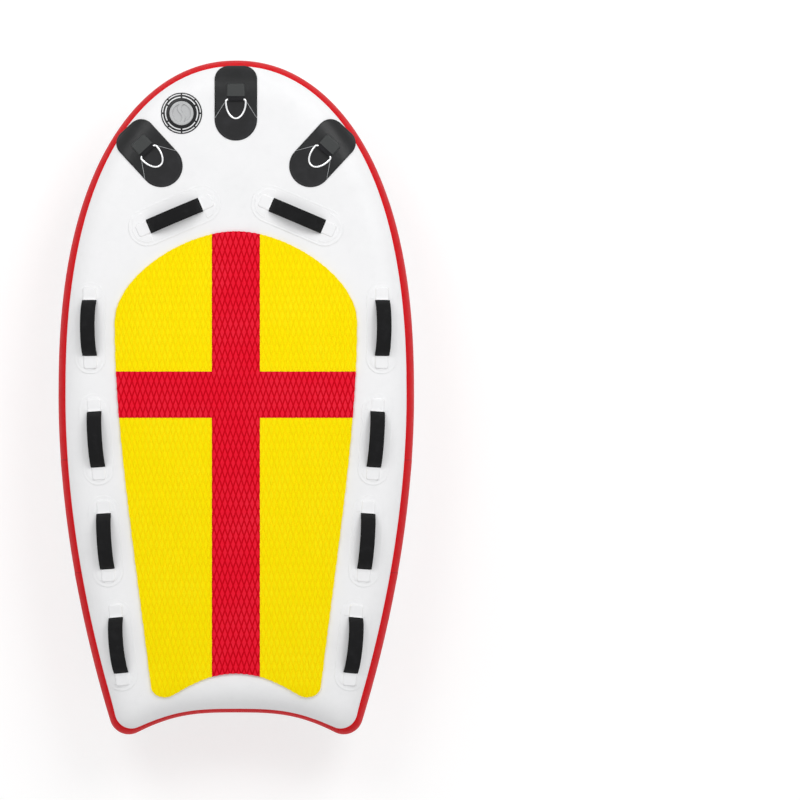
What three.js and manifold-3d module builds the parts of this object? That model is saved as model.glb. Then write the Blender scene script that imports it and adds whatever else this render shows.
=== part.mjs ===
import * as THREE from "three";
import { mergeVertices, toCreasedNormals } from "three/addons/utils/BufferGeometryUtils.js";
import Module from "manifold-3d";

const wasm = await Module();
wasm.setup();

// Inflatable lifeguard rescue board, in millimetres.
// X runs to the right seen from above, Y towards the nose, Z up. The fins' tips touch Z = 0,
// and the origin is under the middle of the board. A place "from the nose" is counted along the board.

// Hull
const boardLength = 1900;
const boardWidth = 1002;
const boardThickness = 200;
const tailDraw = 158;
const railWidth = 100;
const lobeRadius = 54;
const deckLobeRadius = 14;
const notchDepth = 62;
const notchShoulder = 116;
const notchFlat = 110;
const noseRocker = 12;
const rockerLength = 400;
const railBandHeight = 132;
const chamberWall = 1.5;
const skinThickness = 1.2;
const noseLengthPower = 2.4;
const noseWidthPower = 2.1;
const tailDrawPower = 1.9;
const railPower = 2.3;
const tailSweepDegrees = 27;
const widestShare = 0.5;

// Fits
const seatGap = 0.3;
const turningGap = 0.4;
const cutOverrun = 30;

// Traction pad
const padThickness = 6;
const padFrontFromNose = 482;
const padShoulderFromNose = 737;
const padFromHandle = 25.8;
const padCornerFromTail = 133;
const padRearFromTail = 105;
const padNotchFromTail = 173;
const padCornerShare = 0.7;
const padRearShare = 0.554;
const crossBarWidth = 135;
const crossArmWidth = 130;
const crossArmPastMiddle = 73;
const padCurveSteps = 6;

// Handles
const handleClearance = 28;
const sidePatchPastSpan = 50.5;
const sidePatchWidth = 88;
const angledPatchPastSpan = 58;
const angledPatchWidth = 107;
const angledHandleFromNose = 438;
const angledHandleShare = 0.345;
const angledHandleTurnDegrees = 67;
const patchThickness = 1.2;
const handleRise = 27;
const handleLean = 4;
const strapWidth = 30;
const strapThickness = 2;
const tabReach = 33;
const coverFromSpan = 3;
const coverBorder = 11;
const housingWall = 2;
const sleeveWidth = 40;
const sleeveThickness = 9;
const sleeveChamfer = 2.6;

// Tow rings
const centreRingFromNose = 167;
const centrePatchReach = 150;
const sideRingFromNose = 298;
const sideRingShare = 0.419;
const sideRingTurnDegrees = 42.6;
const sidePatchReach = 145;
const towPatchRadius = 60;
const towEndRound = 38;
const towSheet = 1.5;
const towCoverBorder = 1;
const towVeeRise = 47;
const towVeeFromPatch = 3;
const towVeeHalfWidth = 29;
const towBarFromPatch = 56;
const towStrapWidth = 44;
const towStrapThickness = 1.8;
const towNeckLength = 12;
const towTailReach = 40;
const ringWireRadius = 3;
const ringHalfWidth = 28;
const ringReach = 53;
const ringCornerRadius = 5.5;

// Inflation valve
const valveFromNose = 150;
const valveShare = -0.305;
const valvePatchRadius = 58;
const valveSheet = 1.5;
const flangeRadius = 36;
const flangeRise = 6;
const flangeRound = 1.5;
const barrelRadius = 22;
const boreRadius = 17.5;
const barrelDepth = 36;
const seatDepth = 24;
const seatThickness = 3;
const seatOpeningRadius = 12;
const guideDepth = 13;
const guideThickness = 3;
const guideHubRadius = 5.5;
const guideRibWidth = 3;
const poppetRadius = 14.5;
const poppetThickness = 3;
const stemRadius = 2.6;
const buttonRadius = 7;
const buttonThickness = 3;
const springRadius = 4.2;
const springWireRadius = 0.5;
const capRadius = 34;
const capThickness = 8;
const capRound = 2;
const capSkirtDepth = 7;
const capSkirtWall = 2.6;
const capGripWidth = 10;
const capGripRadius = 26;
const capGripDepth = 4;

// Fins
const finDepth = 95;
const finShare = 0.549;
const finPlateFromTail = 391;
const finPlateLength = 203;
const finPlateWidth = 96;
const finPlateRound = 25;
const finPlateThickness = 2.2;
const finBoxFromTail = 363;
const finBoxLength = 144;
const finBoxWidth = 48;
const finBoxHeight = 9;
const finBoxRound = 6;
const slotEndWall = 6;
const slotRoof = 3.4;
const tongueLength = 134;
const tongueWidth = 33;
const tongueThickness = 2.6;
const neckWidth = 8;
const neckInset = 10;
const finFromTail = 355;
const finSweep = 162;
const finRootThickness = 8;
const finTipThickness = 2.4;

// Counts of steps along curves and round circles
const lobeFitRounds = 6;
const noseSteps = 12;
const sideSteps = 4;
const lobeSideSteps = 4;
const lobeTailSteps = 1;
const tailSteps = 3;
const edgeRows = 4;
const bandRows = 4;
const arcStepDegrees = 22.5;
const roundSteps = 20;
const wireSteps = 8;
const ringCurveSteps = 10;
const ringCornerSteps = 2;
const guideRibCount = 3;
const springTurns = 4;
const springTurnSteps = 8;
const springWireSteps = 4;
const finStations = 6;

// Places of the side handles: from the nose and from the middle, as shares of the board's length and
// half width, and the turn in degrees that follows the board's side
const sideHandleShares = [
  [0.397, 0.82, 0.5],
  [0.562, 0.784, 4],
  [0.713, 0.731, 4],
  [0.867, 0.657, 5.5],
];

// A strap's path from its end to the top of its handle: shares of half the span and of the rise
const strapPathShares = [
  [1.09, 0],
  [1, 0.1],
  [0.74, 0.62],
  [0.34, 1],
];
const sleeveStartShare = 0.23;

// The curves of the pad's outline, from its front round to the tail: two pulls for each, across and along,
// as shares of the way from its start to its end
const padCurveShares = [
  [0.42, 0, 1, 0.5],
  [0, 0.29, 0.53, 0.61],
  [0.06, 0.8, 0.44, 1],
  [0.37, 0.63, 0.63, 1],
];

// A fin's front and rear edges as curves from root to tip: shares of the sweep and of the depth
const finFrontShares = [
  [0, 0],
  [0.31, 0.53],
  [0.65, 1],
  [0.93, 1],
];
const finRearShares = [
  [0.85, 0],
  [0.69, 0.105],
  [0.74, 0.42],
  [1, 0.87],
];

// Half of the fin's section: shares of the chord and of half its thickness
const finSectionShares = [
  [0.12, 0.62],
  [0.4, 1],
  [0.75, 0.62],
  [1, 0.12],
];

const halfLength = boardLength / 2;
const halfWidth = boardWidth / 2;
const halfThickness = boardThickness / 2;
const middleZ = finDepth + halfThickness;
const widestFromNose = widestShare * boardLength;
const quarterTurn = Math.PI / 2;
const degree = Math.PI / 180;
const fromNose = (distance) => halfLength - distance;
const fromTail = (distance) => distance - halfLength;
const flat2 = (x, y) => new THREE.Vector2(x, y);
const space3 = (x, y, z) => new THREE.Vector3(x, y, z);

// Colour, roughness and metalness of each material
const finishes = {
  chamberFabric: [0xd9dbdc, 0.7, 0],
  whitePvc: [0xf4f5f7, 0.4, 0],
  redPvc: [0xd2122b, 0.38, 0],
  yellowFoam: [0xffe000, 0.8, 0],
  redFoam: [0xd50f2a, 0.8, 0],
  blackPvc: [0x2e2e2f, 0.5, 0],
  webbing: [0x1c1c1c, 0.85, 0],
  neoprene: [0x262626, 0.9, 0],
  steel: [0xc8cacc, 0.2, 1],
  valveBlack: [0x1d1d1f, 0.45, 0],
  valveGrey: [0xbfc1c4, 0.4, 0],
  finBlack: [0x16222d, 0.5, 0],
};
const materials = {};
for (const [name, [color, roughness, metalness]] of Object.entries(finishes)) {
  materials[name] = new THREE.MeshStandardMaterial({ color, roughness, metalness });
}

const board = new THREE.Group();

// Adds one named piece to a group
function piece(name, geometry, material, group = board) {
  const mesh = new THREE.Mesh(toCreasedNormals(geometry, 35 * degree), material);
  mesh.name = name;
  group.add(mesh);
}

// A closed surface from points and triangles that all turn the same way, with its faces outwards
function closedSurface(points, faces) {
  let volume = 0;
  for (const [a, b, c] of faces) {
    volume += points[a].dot(new THREE.Vector3().crossVectors(points[b], points[c]));
  }
  const index = faces.flatMap(([a, b, c]) => (volume < 0 ? [a, c, b] : [a, b, c]));
  const geometry = new THREE.BufferGeometry().setFromPoints(points);
  geometry.setIndex(index);
  return geometry;
}

// Triangles between two rows of points that each close on themselves
function strip(rowA, rowB, count, faces) {
  for (let i = 0; i < count; i++) {
    const j = (i + 1) % count;
    faces.push([rowA + i, rowB + j, rowA + j], [rowA + i, rowB + i, rowB + j]);
  }
}

// A loft through rings of equally many points: closed at both ends, or endless with the last ring
// meeting the first
function loft(rings, endless = false) {
  const count = rings[0].length;
  const last = (rings.length - 1) * count;
  const faces = [];
  for (let row = 0; row < last; row += count) strip(row, row + count, count, faces);
  if (endless) strip(last, 0, count, faces);
  for (let i = 1; i < count - 1 && !endless; i++) {
    faces.push([0, i, i + 1], [last, last + i + 1, last + i]);
  }
  return closedSurface(rings.flat(), faces);
}

// Geometry to solid and back, for cuts and joins
function solid(geometry) {
  const bare = geometry.clone();
  bare.deleteAttribute("normal");
  bare.deleteAttribute("uv");
  const merged = mergeVertices(bare);
  const vertProperties = new Float32Array(merged.attributes.position.array);
  const triVerts = new Uint32Array(merged.index.array);
  return new wasm.Manifold(new wasm.Mesh({ numProp: 3, vertProperties, triVerts }));
}

function surfaceOf(body) {
  const mesh = body.getMesh();
  const geometry = new THREE.BufferGeometry();
  geometry.setAttribute("position", new THREE.BufferAttribute(mesh.vertProperties, 3));
  geometry.setIndex(new THREE.BufferAttribute(mesh.triVerts, 1));
  return geometry;
}

const joined = (bodies) => bodies.reduce((whole, next) => whole.add(next));

// Evenly stepped values, both ends included
function evenSteps(from, to, steps) {
  const step = (to - from) / steps;
  return Array.from({ length: steps + 1 }, (_, i) => (i === steps ? to : from + step * i));
}

// An upright block between two heights, with its plan drawn as a shape
function upright(shape, low, high) {
  const block = new THREE.ExtrudeGeometry(shape, { depth: high - low, bevelEnabled: false });
  return block.translate(0, 0, low);
}

// Points of an arc
function arc(x, y, radius, from, to) {
  const steps = Math.ceil(Math.abs(to - from) / (arcStepDegrees * degree));
  return evenSteps(from, to, steps).map((angle) => {
    return flat2(x + radius * Math.cos(angle), y + radius * Math.sin(angle));
  });
}

function boxShape(left, right, rear, front) {
  return new THREE.Shape([flat2(left, rear), flat2(right, rear), flat2(right, front), flat2(left, front)]);
}

function roundedBoxShape(left, right, rear, front, radius) {
  return new THREE.Shape([
    ...arc(right - radius, rear + radius, radius, -quarterTurn, 0),
    ...arc(right - radius, front - radius, radius, 0, quarterTurn),
    ...arc(left + radius, front - radius, radius, quarterTurn, 2 * quarterTurn),
    ...arc(left + radius, rear + radius, radius, 2 * quarterTurn, 3 * quarterTurn),
  ]);
}

// Outline of the board, seen from above
// Half width: a rounded nose up to the widest place, then a gentle draw towards the tail
function halfWidthAt(distance) {
  if (distance < widestFromNose) {
    const share = 1 - distance / widestFromNose;
    return halfWidth * (1 - share ** noseLengthPower) ** (1 / noseWidthPower);
  }
  const share = (distance - widestFromNose) / (boardLength - widestFromNose);
  return halfWidth - tailDraw * share ** tailDrawPower;
}

// Outward direction of the side, square to the outline's slope
function sideOutward(distance) {
  if (distance === 0) return flat2(0, 1);
  if (distance < widestFromNose) {
    const share = 1 - distance / widestFromNose;
    const widening = (noseLengthPower * share ** (noseLengthPower - 1)) / widestFromNose;
    const rest = (1 - share ** noseLengthPower) ** (1 / noseWidthPower - 1);
    return flat2(1, (halfWidth / noseWidthPower) * rest * widening).normalize();
  }
  const run = boardLength - widestFromNose;
  const share = (distance - widestFromNose) / run;
  return flat2(1, (-tailDraw * tailDrawPower * share ** (tailDrawPower - 1)) / run).normalize();
}

const sidePoint = (distance) => flat2(halfWidthAt(distance), fromNose(distance));
const moved = (point, direction, length) => point.clone().addScaledVector(direction, length);

// A spoke joins a point of the outline to the point where the deck turns flat, railWidth further in.
// These are the right half's, from the nose to the middle of the tail's notch.
function halfSpokes() {
  const list = [];
  const spoke = (outer, inner) => list.push({ outer, inner });
  const sideSpoke = (distance) => {
    spoke(sidePoint(distance), moved(sidePoint(distance), sideOutward(distance), -railWidth));
  };

  // The tail's lobe is an arc between the side and the notch, which is one smooth curve
  let lobeStart = boardLength;
  for (let i = 0; i < lobeFitRounds; i++) {
    lobeStart = boardLength - lobeRadius * (1 + sideOutward(lobeStart).y);
  }
  const lobeSide = sideOutward(lobeStart);
  const lobeCentre = moved(sidePoint(lobeStart), lobeSide, -lobeRadius);
  const sweep = tailSweepDegrees * degree;
  const lobeTail = flat2(-Math.sin(sweep), -Math.cos(sweep));
  const tailStart = moved(lobeCentre, lobeTail, lobeRadius);
  const notchY = fromNose(boardLength - notchDepth);
  const tail = new THREE.CubicBezierCurve(
    tailStart,
    moved(tailStart, flat2(lobeTail.y, -lobeTail.x), notchShoulder),
    flat2(notchFlat, notchY),
    flat2(0, notchY),
  );

  // The flat deck's lobe is a smaller arc, as far from the side as from the tail
  const both = lobeSide.clone().add(lobeTail);
  const rail = railWidth + deckLobeRadius;
  const deckCentre = moved(lobeCentre, both, (lobeRadius - rail) / (both.lengthSq() / 2));
  const sideFoot = moved(deckCentre, lobeSide, rail);
  const tailFoot = moved(deckCentre, lobeTail, rail);
  const sideEnd = lobeStart - sideFoot.distanceTo(sidePoint(lobeStart));
  const tailEnd = tailFoot.distanceTo(tailStart) / tail.getLength();

  for (let i = 0; i <= noseSteps; i++) {
    sideSpoke(widestFromNose * (1 - Math.cos((quarterTurn * i) / noseSteps)));
  }
  for (let i = 1; i <= sideSteps; i++) {
    sideSpoke(widestFromNose + ((sideEnd - widestFromNose) * i) / sideSteps);
  }
  const rungCount = list.length - 1;

  const lobeTurn = lobeSide.angle() - lobeTail.angle();
  const turned = (turn) => lobeSide.clone().rotateAround(flat2(0, 0), -turn);
  const rearmost = lobeSide.angle() - 3 * quarterTurn;
  const arcTurns = evenSteps(0, rearmost, lobeSideSteps);
  arcTurns.push(...evenSteps(rearmost, lobeTurn, lobeTailSteps).slice(1));
  const fan = [sidePoint((sideEnd + lobeStart) / 2)];
  for (const turn of arcTurns) fan.push(moved(lobeCentre, turned(turn), lobeRadius));
  fan.push(tail.getPointAt(tailEnd / 2));
  fan.forEach((outer, i) => {
    const share = (i + 1) / (fan.length + 1);
    spoke(outer, moved(deckCentre, turned(share * lobeTurn), deckLobeRadius));
  });

  for (const share of evenSteps(tailEnd, 1, tailSteps)) {
    const along = tail.getTangentAt(share);
    const outer = tail.getPointAt(share);
    spoke(outer, moved(outer, flat2(-along.y, along.x), -railWidth));
  }
  return { list, rungCount };
}

const { list: rightSpokes, rungCount } = halfSpokes();
const mirror = (p) => flat2(-p.x, p.y);
const leftSpokes = rightSpokes.slice(1, -1).reverse();
const spokes = [
  ...rightSpokes,
  ...leftSpokes.map(({ outer, inner }) => ({ outer: mirror(outer), inner: mirror(inner) })),
];
const spokeCount = spokes.length;

// The nose bends up a little
function rocker(y) {
  const share = Math.max(0, (y - fromNose(rockerLength)) / rockerLength);
  return noseRocker * share ** 2;
}

// A row of hull points at one angle of the rounded edge: 0 is the middle of the rail, a quarter turn
// is the flat deck, minus that the bottom. The edge's section is a superellipse, grown by a distance.
function hullRow(angle, grow = 0) {
  const flat = Math.abs(angle) === quarterTurn;
  const out = flat ? 0 : Math.cos(angle) ** (2 / railPower);
  const up = Math.sign(angle) * Math.abs(Math.sin(angle)) ** (2 / railPower);
  return spokes.map(({ outer, inner }) => {
    const reach = outer.clone().sub(inner);
    const p = moved(inner, reach, out * (1 + grow / reach.length()));
    return space3(p.x, p.y, middleZ + (halfThickness + grow) * up + rocker(p.y));
  });
}

// Triangles over the flat deck, facing up: rungs across the board, then the part round the notch
function flatFaces(row, faces, down = false) {
  const add = (a, b, c) => faces.push(down ? [row + a, row + c, row + b] : [row + a, row + b, row + c]);
  const left = (i) => (spokeCount - i) % spokeCount;
  add(0, left(1), 1);
  for (let i = 2; i < rungCount; i++) {
    add(i - 1, left(i - 1), left(i));
    add(i - 1, left(i), i);
  }
  const rear = [];
  for (let i = left(rungCount - 1); i >= rungCount - 1; i--) rear.push(i);
  const contour = rear.map((i) => spokes[i].inner);
  for (const [a, b, c] of THREE.ShapeUtils.triangulateShape(contour, [])) add(rear[a], rear[b], rear[c]);
}

// Angle of the rail's section at which the rail is this high
const railAngle = (height) => Math.asin((height / boardThickness) ** (railPower / 2));

const bandAngle = railAngle(railBandHeight);
const deckAngles = evenSteps(quarterTurn, bandAngle, edgeRows);
const bottomAngles = deckAngles.map((angle) => -angle);
const bandTop = railAngle(railBandHeight - 2 * seatGap);
const bandAngles = evenSteps(-bandTop, bandTop, bandRows);
const allAngles = [...bottomAngles, ...bandAngles.slice(1, -1), ...deckAngles.toReversed()];
const chamberAngles = [...bottomAngles, 0, ...deckAngles.toReversed()].filter((_, i) => i % 2 === 0);

// A closed surface through rows that begin and end on the flat deck or the flat bottom
function hullSurface(rows) {
  const last = (rows.length - 1) * spokeCount;
  const faces = [];
  for (let row = 0; row < last; row += spokeCount) strip(row, row + spokeCount, spokeCount, faces);
  flatFaces(0, faces, true);
  flatFaces(last, faces);
  return closedSurface(rows.flat(), faces);
}

const hullRows = (angles, grow) => angles.map((angle) => hullRow(angle, grow));
const hullSolid = (grow, angles = allAngles) => solid(hullSurface(hullRows(angles, grow)));
const hullCache = new Map();
function grownHull(grow) {
  if (!hullCache.has(grow)) hullCache.set(grow, hullSolid(grow));
  return hullCache.get(grow);
}

// A skin over the flat deck, or under the flat bottom, round to one edge of the rail band
function skin(angles) {
  return hullSurface([...hullRows(angles, 0), ...hullRows(angles, -skinThickness).reverse()]);
}

// A place on the board: a point seen from above, and a heading that turns clockwise from the nose
function place(x, distance, turnDegrees = 0) {
  return { at: flat2(x, fromNose(distance)), heading: turnDegrees * degree };
}

const wholeBoard = place(0, halfLength);

function inPlan({ at, heading }, across, along) {
  const ahead = flat2(Math.sin(heading), Math.cos(heading));
  return moved(moved(at, flat2(ahead.y, -ahead.x), across), ahead, along);
}

const turnedRound = ({ at, heading }) => ({ at, heading: heading + 2 * quarterTurn });

// The deck's own point over a point seen from above
const deckMesh = new THREE.Mesh(surfaceOf(grownHull(0)));
const plumbLine = new THREE.Raycaster();
function deckPoint({ x, y }) {
  plumbLine.set(space3(x, y, middleZ + boardThickness), space3(0, 0, -1));
  return plumbLine.intersectObject(deckMesh)[0].point;
}

// A frame that lies on the deck: right, ahead, up. It follows the deck's slope round the place.
function deckFrame(where, across, along) {
  const span = (x, y) => deckPoint(inPlan(where, x, y)).sub(deckPoint(inPlan(where, -x, -y)));
  const ahead = span(0, along).normalize();
  const up = span(across, 0).cross(ahead).normalize();
  const right = ahead.clone().cross(up);
  return new THREE.Matrix4().makeBasis(right, ahead, up).setPosition(deckPoint(where.at));
}

// A layer that follows the hull's surface: its plan is a shape, and its underside lies a lift away
// from the hull
function layer(shape, lift, thickness, where = wholeBoard, below = false) {
  const low = below ? -cutOverrun : middleZ;
  const high = below ? middleZ : middleZ + boardThickness;
  const block = upright(shape, low, high).rotateZ(-where.heading);
  return solid(block.translate(where.at.x, where.at.y, 0))
    .intersect(grownHull(lift + thickness))
    .subtract(grownHull(lift));
}

// Solids of revolution, through rings given as radius and height
function circle(radius, height, steps = roundSteps) {
  return evenSteps(0, 4 * quarterTurn, steps)
    .slice(1)
    .map((angle) => space3(radius * Math.cos(angle), radius * Math.sin(angle), height));
}
function turnedBody(profile, endless = false) {
  const rings = profile.map(([radius, height]) => circle(radius, height));
  return solid(loft(rings, endless));
}
const disc = (radius, low, high) => turnedBody([[radius, low], [radius, high]]);

// Handles along the sides are evenly spaced, which leaves each patch its length and each strap its span
const handleSpacing = (sideHandleShares[2][0] - sideHandleShares[1][0]) * boardLength;
const sidePatchLength = handleSpacing - handleClearance;
const handleSpan = sidePatchLength - 2 * sidePatchPastSpan;
const angledPatchLength = handleSpan + 2 * angledPatchPastSpan;

// Pads
const padHalfWidth = sideHandleShares[0][1] * halfWidth - sidePatchWidth / 2 - padFromHandle;

function padShape() {
  const corners = [
    flat2(0, fromNose(padFrontFromNose)),
    flat2(padHalfWidth, fromNose(padShoulderFromNose)),
    flat2(padCornerShare * padHalfWidth, fromTail(padCornerFromTail)),
    flat2(padRearShare * padHalfWidth, fromTail(padRearFromTail)),
    flat2(0, fromTail(padNotchFromTail)),
  ];
  const rightSide = new THREE.CurvePath();
  padCurveShares.forEach(([startAcross, startAlong, endAcross, endAlong], i) => {
    const [start, end] = [corners[i], corners[i + 1]];
    const run = end.clone().sub(start);
    const pulled = (across, along) => flat2(across, along).multiply(run).add(start);
    const pulls = [pulled(startAcross, startAlong), pulled(endAcross, endAlong)];
    rightSide.add(new THREE.CubicBezierCurve(start, ...pulls, end));
  });
  const right = rightSide.getPoints(padCurveSteps);
  return new THREE.Shape([...right, ...right.slice(1, -1).reverse().map(mirror)]);
}

function addPads() {
  const sheet = layer(padShape(), seatGap, padThickness);
  const armFront = crossArmPastMiddle;
  const armRear = armFront - crossArmWidth;
  const bar = crossBarWidth / 2;
  const part = (left, right, rear, front) => {
    const block = upright(boxShape(left, right, rear, front), 0, middleZ + boardThickness);
    return solid(block).intersect(sheet);
  };
  const longBar = part(-bar, bar, -halfLength, halfLength);
  const arms = part(-halfWidth, halfWidth, armRear, armFront);
  piece("pad_cross", surfaceOf(longBar.add(arms)), materials.redFoam);
  const inner = bar + seatGap;
  for (const [side, left, right] of [["left", -halfWidth, -inner], ["right", inner, halfWidth]]) {
    const front = part(left, right, armFront + seatGap, halfLength);
    const rear = part(left, right, -halfLength, armRear - seatGap);
    piece(`pad_front_${side}`, surfaceOf(front), materials.yellowFoam);
    piece(`pad_rear_${side}`, surfaceOf(rear), materials.yellowFoam);
  }
}

// Handles
// Sweeps a section along a path of points (along, up). Each ring stands square to the path, and a lean
// moves it sideways as it rises.
function sweep(path, section, lean = 0) {
  const rings = path.map((p, i) => {
    const toward = (a, b) => b.clone().sub(a).normalize();
    const before = i > 0 ? toward(path[i - 1], p) : flat2(0, 0);
    const after = i < path.length - 1 ? toward(p, path[i + 1]) : flat2(0, 0);
    const tangent = before.add(after).normalize();
    const sideways = (lean * p.y) / handleRise;
    return section.map(([across, out]) => {
      return space3(across + sideways, p.x - tangent.y * out, p.y + tangent.x * out);
    });
  });
  return loft(rings);
}

const boxSection = (half, thick) => [[-half, -thick], [half, -thick], [half, thick], [-half, thick]];
function chamferedSection(half, thick, chamfer) {
  const [x, y] = [half - chamfer, thick - chamfer];
  const upper = [[half, y], [x, thick], [-x, thick], [-half, y]];
  return [...upper, ...upper.map(([across, up]) => [-across, -up])];
}

const stadiumShape = (half, length) => roundedBoxShape(-half, half, -length / 2, length / 2, half);
function roundEndShape(half, from, to) {
  const roundEnd = arc(0, to - half, half, 0, 2 * quarterTurn);
  return new THREE.Shape([flat2(-half, from), flat2(half, from), ...roundEnd]);
}

// The strap lies in a pocket at each end, between the patch and its cover, and arches between them
const tabHeight = 2 * seatGap + patchThickness + strapThickness / 2;
const pocketHalfHeight = strapThickness / 2 + seatGap;

function strapPath(overrun = 0) {
  const rise = strapPathShares.map(([along, up]) => {
    return flat2((along * handleSpan) / 2, tabHeight + up * handleRise);
  });
  const half = [flat2(handleSpan / 2 + tabReach + overrun, tabHeight), ...rise];
  return [...half, ...half.map(mirror).reverse()];
}

// The sleeve follows the strap but starts further up
function sleevePath() {
  const [, , foot, bend, ...rest] = strapPath().slice(0, strapPathShares.length + 1);
  const half = [foot.clone().lerp(bend, sleeveStartShare), bend, ...rest];
  return [...half, ...half.map(mirror).reverse()];
}

function addHandle(name, where, length, width, lean) {
  const frame = deckFrame(where, strapWidth / 2, handleSpan / 2);
  const placed = (geometry) => solid(geometry.applyMatrix4(frame));
  const strapHalf = strapWidth / 2;
  const roomSection = boxSection(strapHalf + seatGap, pocketHalfHeight);
  const clearance = placed(sweep(strapPath(seatGap), roomSection, lean));

  // White patch: a base, and at each end a cover with a housing over the strap's end
  const sheets = [layer(stadiumShape(width / 2, length), seatGap, patchThickness, where)];
  const coverStart = handleSpan / 2 + coverFromSpan;
  const cover = roundEndShape(width / 2 - coverBorder, coverStart, length / 2 - coverBorder);
  const housingHalf = strapHalf + seatGap + housingWall;
  const housingEnd = handleSpan / 2 + tabReach + seatGap + housingWall;
  const roof = tabHeight + pocketHalfHeight + patchThickness;
  for (const end of [where, turnedRound(where)]) {
    sheets.push(layer(cover, seatGap, 2 * patchThickness, end));
  }
  for (const along of [[coverStart, housingEnd], [-housingEnd, -coverStart]]) {
    sheets.push(placed(upright(boxShape(-housingHalf, housingHalf, ...along), 0, roof)));
  }
  const patch = joined(sheets).subtract(grownHull(seatGap)).subtract(clearance);
  piece(`${name}_patch`, surfaceOf(patch), materials.whitePvc);

  const strap = sweep(strapPath(), boxSection(strapHalf, strapThickness / 2), lean);
  piece(`${name}_strap`, strap.applyMatrix4(frame), materials.webbing);

  const section = chamferedSection(sleeveWidth / 2, sleeveThickness / 2, sleeveChamfer);
  const sleeve = placed(sweep(sleevePath(), section, lean)).subtract(clearance);
  piece(`${name}_sleeve`, surfaceOf(sleeve), materials.neoprene);
}

function addHandles() {
  for (const [side, sign] of [["left", -1], ["right", 1]]) {
    const fromMiddle = sign * angledHandleShare * halfWidth;
    const angled = place(fromMiddle, angledHandleFromNose, -sign * angledHandleTurnDegrees);
    addHandle(`handle_${side}_1`, angled, angledPatchLength, angledPatchWidth, 0);
    sideHandleShares.forEach(([along, out, turn], i) => {
      const where = place(sign * out * halfWidth, along * boardLength, sign * turn);
      addHandle(`handle_${side}_${i + 2}`, where, sidePatchLength, sidePatchWidth, sign * handleLean);
    });
  }
}

// Tow rings
const towStrapLift = 2 * seatGap + towSheet;
const towLoopRadius = ringWireRadius + turningGap + towStrapThickness;
const towBarHeight = towStrapLift + towLoopRadius;

// A shape drawn in the along-up plane, made into a block across the frame
function acrossBlock(shape, width) {
  const axes = new THREE.Matrix4().makeBasis(space3(0, 1, 0), space3(0, 0, 1), space3(1, 0, 0));
  return upright(shape, -width / 2, width / 2).applyMatrix4(axes);
}

// Strap looped round the ring's bar, with both its tails together in the cover's pocket
function towStrap() {
  const tailTop = towStrapLift + 2 * towStrapThickness;
  const shape = new THREE.Shape([
    flat2(towTailReach, towStrapLift),
    flat2(towTailReach, tailTop),
    flat2(towNeckLength, tailTop),
    ...arc(0, towBarHeight, towLoopRadius, quarterTurn, 3 * quarterTurn),
  ]);
  const eye = arc(0, towBarHeight, ringWireRadius + turningGap, 0, 4 * quarterTurn);
  shape.holes.push(new THREE.Path(eye.slice(1)));
  return acrossBlock(shape, towStrapWidth);
}

// Steel ring: a straight bar with rounded corners and a long round end
function towRing() {
  const round = ringCornerRadius;
  const corner = ringHalfWidth - round;
  const bend = (x, across, along, from, to, steps) => {
    return evenSteps(from, to, steps).map((angle) => {
      return flat2(x + across * Math.cos(angle), along * Math.sin(angle) - round);
    });
  };
  const line = [
    ...bend(corner, round, round, quarterTurn, 0, ringCornerSteps),
    ...bend(0, ringHalfWidth, ringReach - round, 0, -2 * quarterTurn, ringCurveSteps).slice(1, -1),
    ...bend(-corner, round, round, 2 * quarterTurn, quarterTurn, ringCornerSteps),
  ];
  const rings = line.map((p, i) => {
    const before = p.clone().sub(line.at(i - 1)).normalize();
    const after = line[(i + 1) % line.length].clone().sub(p).normalize();
    const tangent = before.add(after).normalize();
    return circle(ringWireRadius, 0, wireSteps).map(({ x, y }) => {
      return space3(p.x - tangent.y * x, p.y + tangent.x * x, y);
    });
  });
  return loft(rings, true);
}

// Rail end of a tow patch: two rounded corners, from the right side to the left
function towPatchEnd(half, reach) {
  const middle = half - towEndRound;
  return [
    ...arc(middle, reach - towEndRound, towEndRound, 0, quarterTurn),
    ...arc(-middle, reach - towEndRound, towEndRound, quarterTurn, 2 * quarterTurn),
  ];
}

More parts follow.
